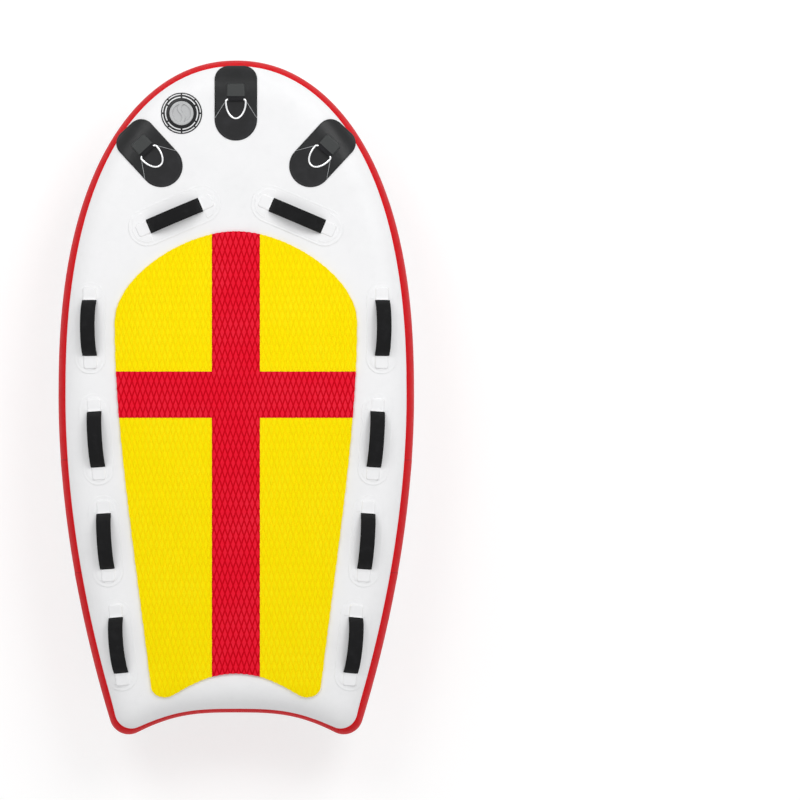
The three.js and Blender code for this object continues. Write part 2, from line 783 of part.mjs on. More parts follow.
function addTowRing(name, where, reach) {
  const barPlace = { at: inPlan(where, 0, towBarFromPatch), heading: where.heading };
  const frame = deckFrame(barPlace, ringHalfWidth, ringHalfWidth);
  const placed = (geometry) => solid(geometry.applyMatrix4(frame));

  // Base patch, round towards the pad
  const roundEnd = arc(0, 0, towPatchRadius, 2 * quarterTurn, 4 * quarterTurn);
  const base = new THREE.Shape([...towPatchEnd(towPatchRadius, reach), ...roundEnd]);
  piece(`${name}_patch`, surfaceOf(layer(base, seatGap, towSheet, where)), materials.blackPvc);

  // Cover, cut to a vee towards the pad, with a housing over the strap's tail
  const pocketHalf = towStrapWidth / 2 + seatGap;
  const pocketRoof = towStrapLift + 2 * towStrapThickness + seatGap;
  const notchTop = towVeeFromPatch + towVeeRise;
  const notchEnd = towBarFromPatch + towNeckLength;
  const half = towPatchRadius - towCoverBorder;
  const vee = new THREE.Shape([
    ...towPatchEnd(half, reach - towCoverBorder),
    flat2(-half, towVeeFromPatch),
    flat2(-towVeeHalfWidth, notchTop),
    flat2(-pocketHalf, notchTop),
    flat2(-pocketHalf, notchEnd),
    flat2(pocketHalf, notchEnd),
    flat2(pocketHalf, notchTop),
    flat2(towVeeHalfWidth, notchTop),
    flat2(half, towVeeFromPatch),
  ]);
  const tailEnd = towTailReach + seatGap;
  const housingHalf = pocketHalf + housingWall;
  const housing = boxShape(-housingHalf, housingHalf, towNeckLength, tailEnd + housingWall);
  const pocket = boxShape(-pocketHalf, pocketHalf, 0, tailEnd);
  const cover = layer(vee, towStrapLift, towSheet, where)
    .add(placed(upright(housing, 0, pocketRoof + towSheet)))
    .subtract(placed(upright(pocket, towStrapLift - seatGap, pocketRoof)))
    .subtract(grownHull(towStrapLift));
  piece(`${name}_cover`, surfaceOf(cover), materials.blackPvc);
  piece(`${name}_strap`, towStrap().applyMatrix4(frame), materials.webbing);

  // The ring lies on the patch: its bar in the loop, its round end a little lower
  const drop = towBarHeight - (2 * seatGap + towSheet + ringWireRadius);
  const ring = towRing().rotateX(Math.asin(drop / ringReach)).translate(0, 0, towBarHeight);
  piece(`${name}_ring`, ring.applyMatrix4(frame), materials.steel);
}

function addTowRings() {
  addTowRing("tow_centre", place(0, centreRingFromNose), centrePatchReach);
  for (const [side, sign] of [["left", -1], ["right", 1]]) {
    const fromMiddle = sign * sideRingShare * halfWidth;
    const where = place(fromMiddle, sideRingFromNose, sign * sideRingTurnDegrees);
    addTowRing(`tow_${side}`, where, sidePatchReach);
  }
}

// Inflation valve
const valvePlace = place(valveShare * halfWidth, valveFromNose);
const valveTop = deckPoint(valvePlace.at);
const atValve = (body) => body.translate([valveTop.x, valveTop.y, valveTop.z]);
const valveHole = atValve(disc(barrelRadius + seatGap, -boardThickness / 2, boardThickness / 2));

function valveBody() {
  const flangeLift = valveSheet + 2 * seatGap;
  const flange = turnedBody([
    [flangeRadius, -flangeRise],
    [flangeRadius, flangeRise - flangeRound],
    [flangeRadius - flangeRound, flangeRise],
  ]);
  const seatLow = seatDepth + seatThickness;
  const barrelTop = flangeRise - flangeRound;
  const barrel = turnedBody(
    [
      [barrelRadius, -barrelDepth],
      [barrelRadius, barrelTop],
      [boreRadius, barrelTop],
      [boreRadius, -seatDepth],
      [seatOpeningRadius, -seatDepth],
      [seatOpeningRadius, -seatLow],
      [boreRadius, -seatLow],
      [boreRadius, -barrelDepth],
    ],
    true,
  );
  const stemHole = stemRadius + turningGap;
  const guideLow = guideDepth + guideThickness;
  const hub = turnedBody(
    [
      [guideHubRadius, -guideLow],
      [guideHubRadius, -guideDepth],
      [stemHole, -guideDepth],
      [stemHole, -guideLow],
    ],
    true,
  );
  const ribMiddle = (guideHubRadius + stemHole) / 2;
  const ribEnd = (boreRadius + barrelRadius) / 2;
  const ribs = Array.from({ length: guideRibCount }, (_, i) => {
    const rib = boxShape(-guideRibWidth / 2, guideRibWidth / 2, ribMiddle, ribEnd);
    return solid(upright(rib, -guideLow, -guideDepth).rotateZ((4 * quarterTurn * i) / guideRibCount));
  });
  const bore = disc(boreRadius, -flangeRise, flangeRise);
  const seated = atValve(flange.subtract(bore)).subtract(grownHull(flangeLift));
  return seated.add(atValve(joined([barrel, hub, ...ribs])));
}

function valvePoppet() {
  const discTop = seatDepth + seatThickness + seatGap;
  return turnedBody([
    [poppetRadius, -discTop - poppetThickness],
    [poppetRadius, -discTop],
    [stemRadius, -discTop],
    [stemRadius, -buttonThickness],
    [buttonRadius, -buttonThickness],
    [buttonRadius, 0],
  ]);
}

function valveSpring() {
  const low = -guideDepth + seatGap + springWireRadius;
  const high = -buttonThickness - seatGap - springWireRadius;
  const turn = 4 * quarterTurn;
  const rise = (high - low) / (springTurns * turn * springRadius);
  const rings = evenSteps(0, springTurns * turn, springTurns * springTurnSteps).map((angle) => {
    const tangent = space3(-Math.sin(angle), Math.cos(angle), rise).normalize();
    const out = space3(Math.cos(angle), Math.sin(angle), 0);
    const up = out.clone().cross(tangent);
    const middle = out.clone().multiplyScalar(springRadius);
    middle.z = low + rise * springRadius * angle;
    return circle(springWireRadius, 0, springWireSteps).map(({ x, y }) => {
      return middle.clone().addScaledVector(out, x).addScaledVector(up, y);
    });
  });
  return solid(loft(rings));
}

function valveCap() {
  const low = flangeRise + seatGap;
  const high = low + capThickness;
  const skirtRadius = boreRadius - turningGap;
  const cap = turnedBody([
    [skirtRadius - capSkirtWall, low],
    [skirtRadius - capSkirtWall, flangeRise - capSkirtDepth],
    [skirtRadius, flangeRise - capSkirtDepth],
    [skirtRadius, low],
    [capRadius, low],
    [capRadius, high - capRound],
    [capRadius - capRound, high],
  ]);
  const gripAngle = Math.acos(capGripWidth / 2 / capGripRadius);
  const grip = new THREE.Shape(arc(0, 0, capGripRadius, -gripAngle, gripAngle));
  const recess = solid(upright(grip, high - capGripDepth, high + capGripDepth));
  return cap.subtract(recess).subtract(recess.rotate([0, 0, 180]));
}

function addValve() {
  const ring = new THREE.Shape(circle(valvePatchRadius, 0).map(({ x, y }) => flat2(x, y)));
  const patch = layer(ring, seatGap, valveSheet, valvePlace).subtract(valveHole);
  piece("valve_patch", surfaceOf(patch), materials.blackPvc);
  piece("valve_body", surfaceOf(valveBody()), materials.valveBlack);
  piece("valve_poppet", surfaceOf(atValve(valvePoppet())), materials.valveGrey);
  piece("valve_spring", surfaceOf(atValve(valveSpring())), materials.steel);
  piece("valve_cap", surfaceOf(atValve(valveCap())), materials.valveGrey);
}

// Fins
const slotHigh = finDepth - seatGap - slotRoof;
const slotHeight = tongueThickness + 2 * seatGap;
const boxLow = finDepth - seatGap - finBoxHeight;
const tongueFront = fromTail(finBoxFromTail) - slotEndWall - seatGap;

function finBox(where) {
  const plateFront = fromTail(finPlateFromTail);
  const plateRear = plateFront - finPlateLength;
  const halfPlate = finPlateWidth / 2;
  const plate = roundedBoxShape(-halfPlate, halfPlate, plateRear, plateFront, finPlateRound);
  const boxFront = fromTail(finBoxFromTail);
  const boxRear = boxFront - finBoxLength;
  const halfBox = finBoxWidth / 2;
  const box = roundedBoxShape(-halfBox, halfBox, boxRear, boxFront, finBoxRound);
  const slotFront = boxFront - slotEndWall;
  const slot = (half, low, high) => {
    return solid(upright(boxShape(-half, half, boxRear - cutOverrun, slotFront), low, high));
  };
  const block = solid(upright(box, boxLow, finDepth - seatGap - finPlateThickness / 2))
    .subtract(slot(tongueWidth / 2 + seatGap, slotHigh - slotHeight, slotHigh))
    .subtract(slot(neckWidth / 2 + seatGap, 0, slotHigh - slotHeight / 2));
  return layer(plate, seatGap, finPlateThickness, where, true).add(block.translate([where.at.x, 0, 0]));
}

// Swept fin: a lens section that follows both edges from root to tip
function finBlade() {
  const curve = (shares) => {
    const points = shares.map(([along, deep]) => {
      return flat2(fromTail(finFromTail) - along * finSweep, finDepth * (1 - deep));
    });
    return new THREE.CubicBezierCurve(...points);
  };
  const front = curve(finFrontShares);
  const rear = curve(finRearShares);
  const halves = [
    [0, 0],
    ...finSectionShares,
    ...finSectionShares.map(([along, thick]) => [along, -thick]).reverse(),
  ];
  const rings = evenSteps(0, 1, finStations).map((share) => {
    const [start, end] = [front.getPoint(share), rear.getPoint(share)];
    const half = (finRootThickness + (finTipThickness - finRootThickness) * share) / 2;
    return halves.map(([along, thick]) => {
      const p = start.clone().lerp(end, along);
      return space3(half * thick, p.x, p.y);
    });
  });
  return solid(loft(rings));
}

function fin(where) {
  const rear = tongueFront - tongueLength;
  const tongueHigh = slotHigh - seatGap;
  const tongueLow = tongueHigh - tongueThickness;
  const bladeTop = boxLow - turningGap;
  const neck = boxShape(-neckWidth / 2, neckWidth / 2, rear + neckInset, tongueFront - neckInset);
  const tongue = boxShape(-tongueWidth / 2, tongueWidth / 2, rear, tongueFront);
  const below = boxShape(-finDepth, finDepth, -halfLength, halfLength);
  const body = joined([
    solid(upright(tongue, tongueLow, tongueHigh)),
    solid(upright(neck, bladeTop, tongueLow)),
    finBlade().intersect(solid(upright(below, -cutOverrun, bladeTop))),
  ]);
  return body.translate([where.at.x, 0, 0]);
}

function addFins() {
  for (const [side, sign] of [["left", -1], ["right", 1]]) {
    const where = place(sign * finShare * halfWidth, halfLength);
    piece(`fin_box_${side}`, surfaceOf(finBox(where)), materials.blackPvc);
    piece(`fin_${side}`, surfaceOf(fin(where)), materials.finBlack);
  }
}

// Hull
function addHull() {
  const chamberOut = -skinThickness - seatGap;
  const inside = hullSolid(chamberOut - chamberWall, chamberAngles);
  const chamber = hullSolid(chamberOut, chamberAngles).subtract(inside);
  const band = [...hullRows(bandAngles, 0), ...hullRows(bandAngles, -skinThickness).reverse()];
  piece("air_chamber", surfaceOf(chamber.subtract(valveHole)), materials.chamberFabric);
  piece("deck_skin", surfaceOf(solid(skin(deckAngles)).subtract(valveHole)), materials.whitePvc);
  piece("bottom_skin", skin(bottomAngles), materials.whitePvc);
  piece("rail_band", loft(band, true), materials.redPvc);
}

addHull();
addPads();
addHandles();
addTowRings();
addValve();
addFins();

export default board;
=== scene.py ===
"""Inflatable lifeguard rescue board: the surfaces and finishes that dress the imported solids.

Sizes are in millimetres and become metres when a mesh is made. X runs to the right seen from above, Y
towards the nose and Z up. Every new surface is a function of two parameters, worked out as whole arrays.
"""
import math

import bmesh
import bpy
import numpy as np
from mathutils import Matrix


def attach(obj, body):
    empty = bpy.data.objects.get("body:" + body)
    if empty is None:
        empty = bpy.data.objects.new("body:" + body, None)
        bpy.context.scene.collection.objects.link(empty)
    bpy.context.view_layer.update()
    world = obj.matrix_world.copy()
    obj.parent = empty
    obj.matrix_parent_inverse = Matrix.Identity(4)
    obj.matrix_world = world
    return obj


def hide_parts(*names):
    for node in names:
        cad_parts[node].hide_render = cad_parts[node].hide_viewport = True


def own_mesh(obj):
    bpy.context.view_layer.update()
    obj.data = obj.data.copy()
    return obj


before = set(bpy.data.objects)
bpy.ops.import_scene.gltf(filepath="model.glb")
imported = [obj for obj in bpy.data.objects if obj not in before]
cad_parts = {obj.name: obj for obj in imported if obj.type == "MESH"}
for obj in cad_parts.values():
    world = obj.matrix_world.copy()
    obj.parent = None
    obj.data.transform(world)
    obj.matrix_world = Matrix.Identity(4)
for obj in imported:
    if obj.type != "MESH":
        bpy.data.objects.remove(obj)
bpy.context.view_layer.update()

MM = 0.001
TURN = 2 * np.pi
QUARTER = np.pi / 2
CREASE_ANGLE = 35
SIDES = (("left", -1), ("right", 1))

# Hull
BOARD_LENGTH = 1900
HALF_LENGTH = BOARD_LENGTH / 2
HALF_WIDTH = 501
HALF_THICKNESS = 100
WIDEST = 950
NOSE_POWER, NOSE_ROUND = 2.4, 2.1
TAIL_DRAW, TAIL_POWER = 158, 1.9
RAIL_WIDTH = 100
LOBE_RADIUS = 54
DECK_LOBE_RADIUS = 14
NOTCH_Y = -888
NOTCH_SHOULDER = 116
NOTCH_FLAT = 110
TAIL_SWEEP = math.radians(27)
RAIL_POWER = 2.3
HULL_BOTTOM = 95
MIDDLE_Z = HULL_BOTTOM + HALF_THICKNESS
ROCKER = 12
ROCKER_LENGTH = 400
FLAT_REAR, FLAT_FRONT = -680, 640
SKIN = 1.2
SEAT_GAP = 0.3
BAND_EDGE = 36.8
BAND_NOSE_DROP, BAND_LOBE_DROP = 4.5, 11.5
BAND_PROUD = 0.9
BAND_LAP = 0.055
BAND_SEAMS = (-176, -494)
SEAM_STEP, SEAM_RISE, SEAM_RUN = 0.6, 1.2, 45

# Traction pad
PAD_THICKNESS = 6
PAD_HALF_WIDTH = 341
PAD_CORNERS = ((0, 468), (1, 213), (0.7, -817), (0.554, -845), (0, -777))
PAD_CURVES = ((0.42, 0, 1, 0.5), (0, 0.29, 0.53, 0.61), (0.06, 0.8, 0.44, 1), (0.37, 0.63, 0.63, 1))
CROSS_HALF_BAR = 67.5
CROSS_ARM_FRONT = 73
CROSS_ARM_REAR = -57
DIAMOND_WIDTH = 15.4
DIAMOND_LENGTH = 46
GROOVE_DEPTH = 1.1

# Handles. A patch is its length and half its width. A side handle is its distance from the nose as a share
# of the board's length, its distance from the middle as a share of half the board's width, and its turn.
HANDLE_SPAN = 157.9
HANDLE_RISE = 27
STRAP_HALF = 15
STRAP_THICKNESS = 2
STRAP_END_ROOM = 3
TAB_REACH = 33
PATCH_SHEET = 1.2
PATCH_WELD = 0.12
COVER_BORDER = 11
COVER_FROM_SPAN = 3
COVER_SINK = 0.05
POCKET_SHEET = 1.0
POCKET_FOOT = 1.3
POCKET_LOWEST = 5.3
SLEEVE_HALF = 20
SLEEVE_THICKNESS = 9
HEM = 5.7
FRONT_PATCH, FRONT_HALF_SLEEVE = (273.9, 53.5), 79.4
SIDE_PATCH, SIDE_HALF_SLEEVE = (258.9, 44.0), 78.2
FRONT_HANDLE_X, FRONT_HANDLE_BACK, FRONT_HANDLE_TURN = 172.8, 438, 67
SIDE_HANDLES = ((0.397, 0.82, 0.5), (0.562, 0.784, 4), (0.713, 0.731, 4), (0.867, 0.657, 5.5))
SIDE_LEAN = 3.1

# Tow rings. The last two give the centre of a patch's round end, as X and a distance from the nose, its
# turn, and its reach from there to the rail.
TOW_SHEET = 1.5
TOW_RADIUS = 60
TOW_END_ROUND = 38
TOW_BAR = 56
TOW_STRAP_HALF = 22
TOW_STRAP_THICKNESS = 1.8
VEE_LEG, VEE_FLAT, VEE_FLAT_HALF, VEE_SLOPE = 3, 50, 29, 0.638
TOW_ROOF = 7.5
TOW_LIFT = 2 * SEAT_GAP + TOW_SHEET
RING_WIRE = 3
RING_ROOM = 0.4
RING_HALF_WIDTH = 28
RING_REACH = 53
RING_CORNER = 5.5
LOOP_RADIUS = RING_WIRE + RING_ROOM + TOW_STRAP_THICKNESS / 2
BAR_HEIGHT = TOW_LIFT + RING_WIRE + RING_ROOM + TOW_STRAP_THICKNESS
CENTRE_TOW = (0, 167, 0, 150)
SIDE_TOW = (209.9, 298, 42.6, 145)

# Valve
VALVE_X, VALVE_Y = -152.8, 800
VALVE_HOLE = 22.3
VALVE_SHEET = 1.5
THROAT = 17.5
FLANGE_RISE = 6
SPIDER_LOW, SPIDER_HIGH = -16, -13
SPRING_RADIUS, SPRING_WIRE, SPRING_TURNS = 4.2, 0.5, 4
SPRING_LOW, SPRING_LENGTH, SPRING_KEEP = -12.2, 8.4, 0.49
CAP_RADIUS = 34
CAP_HIGH = 14.3
CAP_FLUTES, FLUTE_DEPTH = 48, 0.45
GRIP_RADIUS, GRIP_DEPTH, GRIP_HALF_BAR, GRIP_BEND = 26.4, 4.0, 4.0, 6.5

# Fins. The two curves are shares of the blade's length behind its front and of its depth down from the
# hull. The halves are shares of its chord and of half its thickness.
FIN_X = 275
FIN_DEPTH = 95
FIN_START, FIN_LENGTH = -595, 162
FIN_ROOT_THICKNESS, FIN_TIP_THICKNESS = 8, 2.4
FIN_FRONT = ((0, 0), (0.31, 0.53), (0.65, 1), (0.93, 1))
FIN_REAR = ((0.85, 0), (0.69, 0.105), (0.74, 0.42), (1, 0.87))
FIN_HALVES = ((0, 0), (0.03, 0.3), (0.12, 0.62), (0.25, 0.88), (0.4, 1), (0.58, 0.9), (0.75, 0.62),
              (0.9, 0.28), (1, 0.1))
BLADE_TOP = 85.3
TONGUE_LOW, TONGUE_HIGH = 88.4, 91.0
TONGUE_HALF, TONGUE_FRONT, TONGUE_LENGTH = 16.5, -593.3, 134
PLATE_FRONT, PLATE_HALF_WIDTH, PLATE_HALF_LENGTH, PLATE_CORNER = -559, 48, 101.5, 25
BOX_HALF, BOX_LOW, BOX_HIGH, BOX_REAR, BOX_STOP, BOX_FRONT = 24, 85.7, 93.6, -731, -594, -587


# Camera: straight above, as in the photograph, where the board lies left of the middle. The lens is long,
# because the photograph shows no more of the rail on one side of the board than on the other.
LENS, SENSOR = 600, 36
VIEW_WIDTH = 2.252
VIEW_CENTRE = (0.462, -0.007, 0.295)
camera_data = bpy.data.cameras.new("camera")
camera_data.lens, camera_data.sensor_width = LENS, SENSOR
camera_data.clip_end = 200
camera = bpy.data.objects.new("camera", camera_data)
bpy.context.scene.collection.objects.link(camera)
camera.location = (*VIEW_CENTRE[:2], VIEW_CENTRE[2] + VIEW_WIDTH * LENS / SENSOR)
bpy.context.scene.camera = camera


# Meshes
def grid_faces(rows, columns, row_loop=False, column_loop=False):
    """Quads over a grid of points, numbered row by row. A loop joins the last row or column to the first."""
    i = np.arange(rows if row_loop else rows - 1)[:, None]
    j = np.arange(columns if column_loop else columns - 1)[None, :]
    a = i * columns + j
    b = i * columns + (j + 1) % columns
    c = ((i + 1) % rows) * columns + (j + 1) % columns
    d = ((i + 1) % rows) * columns + j
    return np.stack([a, b, c, d], -1).reshape(-1, 4)


class Shell:
    """Grids of points that become one mesh. Each point may carry its place on the surface: across, along,
    and a third number, such as how far in from the edge it lies."""

    def __init__(self):
        self.points, self.faces, self.lay, self.count = [], [], [], 0

    def add(self, points, faces, lay=None):
        """Points with their faces, numbered on from those that are there."""
        points = np.asarray(points, float).reshape(-1, 3)
        self.points.append(points)
        self.faces.append(np.asarray(faces) + self.count)
        self.lay.append(np.zeros((len(points), 3)) if lay is None else np.asarray(lay, float).reshape(-1, 3))
        self.count += len(points)
        return self

    def grid(self, points, row_loop=False, column_loop=False, lay=None):
        """A grid of points, rows by columns."""
        rows, columns = points.shape[:2]
        return self.add(points, grid_faces(rows, columns, row_loop, column_loop), lay)

    def piece(self, name, body, slot, finish, replaces=(), merge=0.002, smooth=CREASE_ANGLE, fill=False):
        """Makes the object: doubled points merged, faces outwards, smooth up to an angle between faces.
        Open ends are filled where it is asked for."""
        mesh = bpy.data.meshes.new(name)
        points = np.concatenate(self.points) * MM
        mesh.vertices.add(len(points))
        mesh.vertices.foreach_set("co", points.astype(np.float32).ravel())
        faces = np.concatenate(self.faces).astype(np.int32)
        mesh.loops.add(faces.size)
        mesh.loops.foreach_set("vertex_index", faces.ravel())
        mesh.polygons.add(len(faces))
        mesh.polygons.foreach_set("loop_start", np.arange(0, faces.size, 4, dtype=np.int32))
        mesh.update(calc_edges=True)
        lay = mesh.attributes.new("lay", "FLOAT_VECTOR", "POINT")
        lay.data.foreach_set("vector", (np.concatenate(self.lay) * MM).astype(np.float32).ravel())
        work = bmesh.new()
        work.from_mesh(mesh)
        bmesh.ops.remove_doubles(work, verts=work.verts, dist=merge * MM)
        if fill:
            bmesh.ops.holes_fill(work, edges=[edge for edge in work.edges if edge.is_boundary])
        bmesh.ops.recalc_face_normals(work, faces=work.faces)
        work.to_mesh(mesh)
        work.free()
        return dress(mesh, name, body, finish, replaces, smooth)


def dress(mesh, name, body, finish, replaces=(), smooth=CREASE_ANGLE):
    """An object from a finished mesh, riding on its body with its finish."""
    mesh.polygons.foreach_set("use_smooth", np.ones(len(mesh.polygons), bool))
    mesh.set_sharp_from_angle(angle=math.radians(smooth))
    mesh.materials.append(finish)
    thing = bpy.data.objects.new(f"{name}_visual", mesh)
    bpy.context.scene.collection.objects.link(thing)
    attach(thing, body)
    if replaces:
        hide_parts(*replaces)
    return thing


def hermite(points, count):
    """A smooth curve through points: cubic pieces whose slopes at each point follow its two neighbours."""
    points = np.asarray(points, float)
    run = np.concatenate([[0], np.cumsum(np.linalg.norm(np.diff(points, axis=0), axis=1))])
    slope = np.gradient(points, run, axis=0)
    t = np.linspace(0, run[-1], count)
    k = np.clip(np.searchsorted(run, t, side="right") - 1, 0, len(run) - 2)
    step = run[k + 1] - run[k]
    s = ((t - run[k]) / step)[:, None]
    step = step[:, None]
    return ((1 + 2 * s) * (1 - s) ** 2 * points[k] + s * (1 - s) ** 2 * step * slope[k]
            + s * s * (3 - 2 * s) * points[k + 1] + s * s * (s - 1) * step * slope[k + 1])


def bezier(a, b, c, d, t):
    """Points of a cubic curve with two pulls, at shares t of its parameter."""
    t = np.asarray(t)[:, None]
    return (1 - t) ** 3 * a + 3 * (1 - t) ** 2 * t * b + 3 * (1 - t) * t * t * c + t ** 3 * d


def resample(line, count, closed=False):
    """The same line with evenly spaced points."""
    if closed:
        line = np.concatenate([line, line[:1]])
    run = np.concatenate([[0], np.cumsum(np.linalg.norm(np.diff(line, axis=0), axis=1))])
    at = np.linspace(0, run[-1], count, endpoint=not closed)
    return np.stack([np.interp(at, run, line[:, k]) for k in range(line.shape[1])], -1)


def arc(x, y, radius, start, end, count):
    """Points of an arc from one angle to another."""
    angle = np.linspace(start, end, count)
    return np.stack([x + radius * np.cos(angle), y + radius * np.sin(angle)], -1)


def eased(share):
    """A smooth step from 0 to 1: three squares less two cubes of the share."""
    share = np.clip(share, 0, 1)
    return share ** 2 * (3 - 2 * share)


# The hull's outline
def half_width(distance):
    """Half of the board's width at a distance d from the nose. Up to the widest place it is
    501 (1 - (1 - d/950)^2.4)^(1/2.1). Past it, it is 501 less 158 times the power 1.9 of the share of the
    way on to the tail."""
    nose = np.clip(1 - distance / WIDEST, 0, 1)
    tail = np.clip(distance - WIDEST, 0, None) / (BOARD_LENGTH - WIDEST)
    return np.where(distance < WIDEST, HALF_WIDTH * (1 - nose ** NOSE_POWER) ** (1 / NOSE_ROUND),
                    HALF_WIDTH - TAIL_DRAW * tail ** TAIL_POWER)


def side_outward(distance):
    """The unit direction square to the outline, from the slope of the half width."""
    nose = np.clip(1 - distance / WIDEST, 1e-9, 1 - 1e-9)
    run = BOARD_LENGTH - WIDEST
    tail = np.clip(distance - WIDEST, 0, None) / run
    widening = NOSE_POWER * nose ** (NOSE_POWER - 1) / WIDEST * HALF_WIDTH / NOSE_ROUND
    widening *= (1 - nose ** NOSE_POWER) ** (1 / NOSE_ROUND - 1)
    along = np.where(distance < WIDEST, widening, -TAIL_DRAW * TAIL_POWER * tail ** (TAIL_POWER - 1) / run)
    out = np.stack([np.ones_like(along), along], -1)
    out[distance <= 0] = (0, 1)
    return out / np.linalg.norm(out, axis=-1, keepdims=True)


def side_point(distance):
    """The point of the right side at a distance from the nose: X is half the width there."""
    return np.stack([half_width(distance), HALF_LENGTH - distance], -1)


def spokes(nose_steps=72, side_steps=56, lobe_steps=34, tail_steps=26, fine=600):
    """Pairs of points round the board: on the outline, and where the deck turns flat. Along the sides and
    the tail's hollow they stand square to the outline, 100 apart. Round each lobe they fan onto a small
    arc. With them comes a share that grows from 0 to 1 round the lobe."""
    lobe_start = float(BOARD_LENGTH)
    for _ in range(20):
        lobe_start = BOARD_LENGTH - LOBE_RADIUS * (1 + side_outward(np.array([lobe_start]))[0, 1])
    lobe_side = side_outward(np.array([lobe_start]))[0]
    lobe_centre = side_point(np.array([lobe_start]))[0] - LOBE_RADIUS * lobe_side
    lobe_tail = np.array([-math.sin(TAIL_SWEEP), -math.cos(TAIL_SWEEP)])
    tail_start = lobe_centre + LOBE_RADIUS * lobe_tail
    tail_line = bezier(tail_start, tail_start + NOTCH_SHOULDER * np.array([lobe_tail[1], -lobe_tail[0]]),
                       np.array([NOTCH_FLAT, NOTCH_Y]), np.array([0, NOTCH_Y]), np.linspace(0, 1, fine))
    tail_length = np.linalg.norm(np.diff(tail_line, axis=0), axis=1).sum()

    both = lobe_side + lobe_tail
    rail = RAIL_WIDTH + DECK_LOBE_RADIUS
    deck_centre = lobe_centre + both * ((LOBE_RADIUS - rail) / (both @ both / 2))
    side_end = deck_centre + rail * lobe_side - side_point(np.array([lobe_start]))[0]
    side_end = lobe_start - np.linalg.norm(side_end)
    tail_end = np.linalg.norm(deck_centre + rail * lobe_tail - tail_start) / tail_length

    nose = WIDEST * (1 - np.cos(QUARTER * np.linspace(0, 1, nose_steps + 1)[:-1] ** 1.15))
    seams = [HALF_LENGTH - y + offset for y in BAND_SEAMS for offset in (-0.7, 0.7)]
    side = np.unique(np.concatenate([np.linspace(WIDEST, side_end, side_steps), seams]))
    distance = np.concatenate([nose, side])
    outer, outward = [side_point(distance)], side_outward(distance)
    inner = [outer[0] - RAIL_WIDTH * outward]

    side_angle = math.atan2(lobe_side[1], lobe_side[0])
    tail_angle = math.atan2(lobe_tail[1], lobe_tail[0])
    tail_even = resample(tail_line, fine + 1)
    fan_line = np.concatenate([side_point(np.linspace(side_end, lobe_start, 60)),
                               arc(*lobe_centre, LOBE_RADIUS, side_angle, tail_angle, 120)[1:],
                               tail_even[1:int(round(fine * tail_end)) + 1]])
    outer.append(resample(fan_line, lobe_steps + 2)[1:-1])
    inner.append(arc(*deck_centre, DECK_LOBE_RADIUS, side_angle, tail_angle, lobe_steps + 2)[1:-1])

    share = np.linspace(tail_end, 1, tail_steps + 1)
    at_shares = lambda values: np.stack([np.interp(share * fine, np.arange(fine + 1), column)
                                         for column in values.T], -1)
    rear, ahead = at_shares(tail_even), at_shares(np.gradient(tail_even, axis=0))
    rear[-1] = (0, NOTCH_Y)
    ahead /= np.linalg.norm(ahead, axis=1, keepdims=True)
    ahead[-1] = (-1, 0)
    outer.append(rear)
    inner.append(rear + RAIL_WIDTH * np.stack([ahead[:, 1], -ahead[:, 0]], -1))
    outer, inner = np.concatenate(outer), np.concatenate(inner)
    flip = np.array([-1, 1])
    round_lobe = [np.zeros(len(distance)), np.linspace(0, 1, lobe_steps), np.ones(tail_steps + 1)]
    round_lobe = np.concatenate(round_lobe)
    return (np.concatenate([outer, outer[-2:0:-1] * flip]), np.concatenate([inner, inner[-2:0:-1] * flip]),
            np.concatenate([round_lobe, round_lobe[-2:0:-1]]))


OUTER, INNER, ROUND_LOBE = spokes()
REACH = np.linalg.norm(OUTER - INNER, axis=1, keepdims=True)


def rocker(y):
    """The nose bends up by 12 times the square of the share of its last 400."""
    return ROCKER * (np.clip(y - (HALF_LENGTH - ROCKER_LENGTH), 0, None) / ROCKER_LENGTH) ** 2


def rail_row(angle, grow=0.0):
    """One row of the hull round the board: out = cos^(2/2.3) and up = sin^(2/2.3) of an angle, which is a
    quarter turn on the flat deck, 0 at the middle of the rail and minus a quarter turn under the bottom."""
    angle = np.broadcast_to(angle, len(OUTER))
    out = np.clip(np.cos(angle), 0, 1) ** (2 / RAIL_POWER)
    out = np.where(np.abs(np.abs(angle) - QUARTER) < 1e-9, 0, out)[:, None]
    up = np.sign(angle) * np.abs(np.sin(angle)) ** (2 / RAIL_POWER)
    plan = INNER + (OUTER - INNER) * out * (1 + grow / REACH)
    z = MIDDLE_Z + (HALF_THICKNESS + grow) * up + rocker(plan[:, 1])
    return np.column_stack([plan, z])


def flat_rows(z, count):
    """Rows from the board's middle line out to where the deck turns flat: a level z plus the nose's bend."""
    spine = np.column_stack([np.zeros(len(INNER)), np.clip(INNER[:, 1], FLAT_REAR, FLAT_FRONT)])
    share = np.linspace(0, 1, count)[:-1, None, None]
    plan = spine + (INNER - spine) * share
    return np.concatenate([plan, (z + rocker(plan[..., 1]))[..., None]], -1)


# The rail band's edges, as angles of the rail's section. Its lower edge runs level. Its upper edge comes a
# little lower towards the nose, and lower again round the lobes of the tail.
BAND_LOW = math.radians(-BAND_EDGE)
BAND_HIGH = np.radians(BAND_EDGE - BAND_NOSE_DROP * eased((OUTER[:, 1] - 300) / 600)
                       - BAND_LOBE_DROP * eased(ROUND_LOBE))


def skin_shell(side):
    """Deck skin (side 1) or bottom skin (side -1): one closed sheet 1.2 thick, from the middle line over
    the flat and round to the rail band, then back on its inner face."""
    edge = BAND_HIGH if side > 0 else BAND_LOW
    angles = [side * QUARTER + (edge - side * QUARTER) * share for share in np.linspace(0, 1, 16)]
    outer = [*flat_rows(MIDDLE_Z + side * HALF_THICKNESS, 12), *(rail_row(a) for a in angles)]
    inner = [*flat_rows(MIDDLE_Z + side * (HALF_THICKNESS - SKIN), 12), *(rail_row(a, -SKIN) for a in angles)]
    return Shell().grid(np.stack(outer + inner[::-1]), column_loop=True)


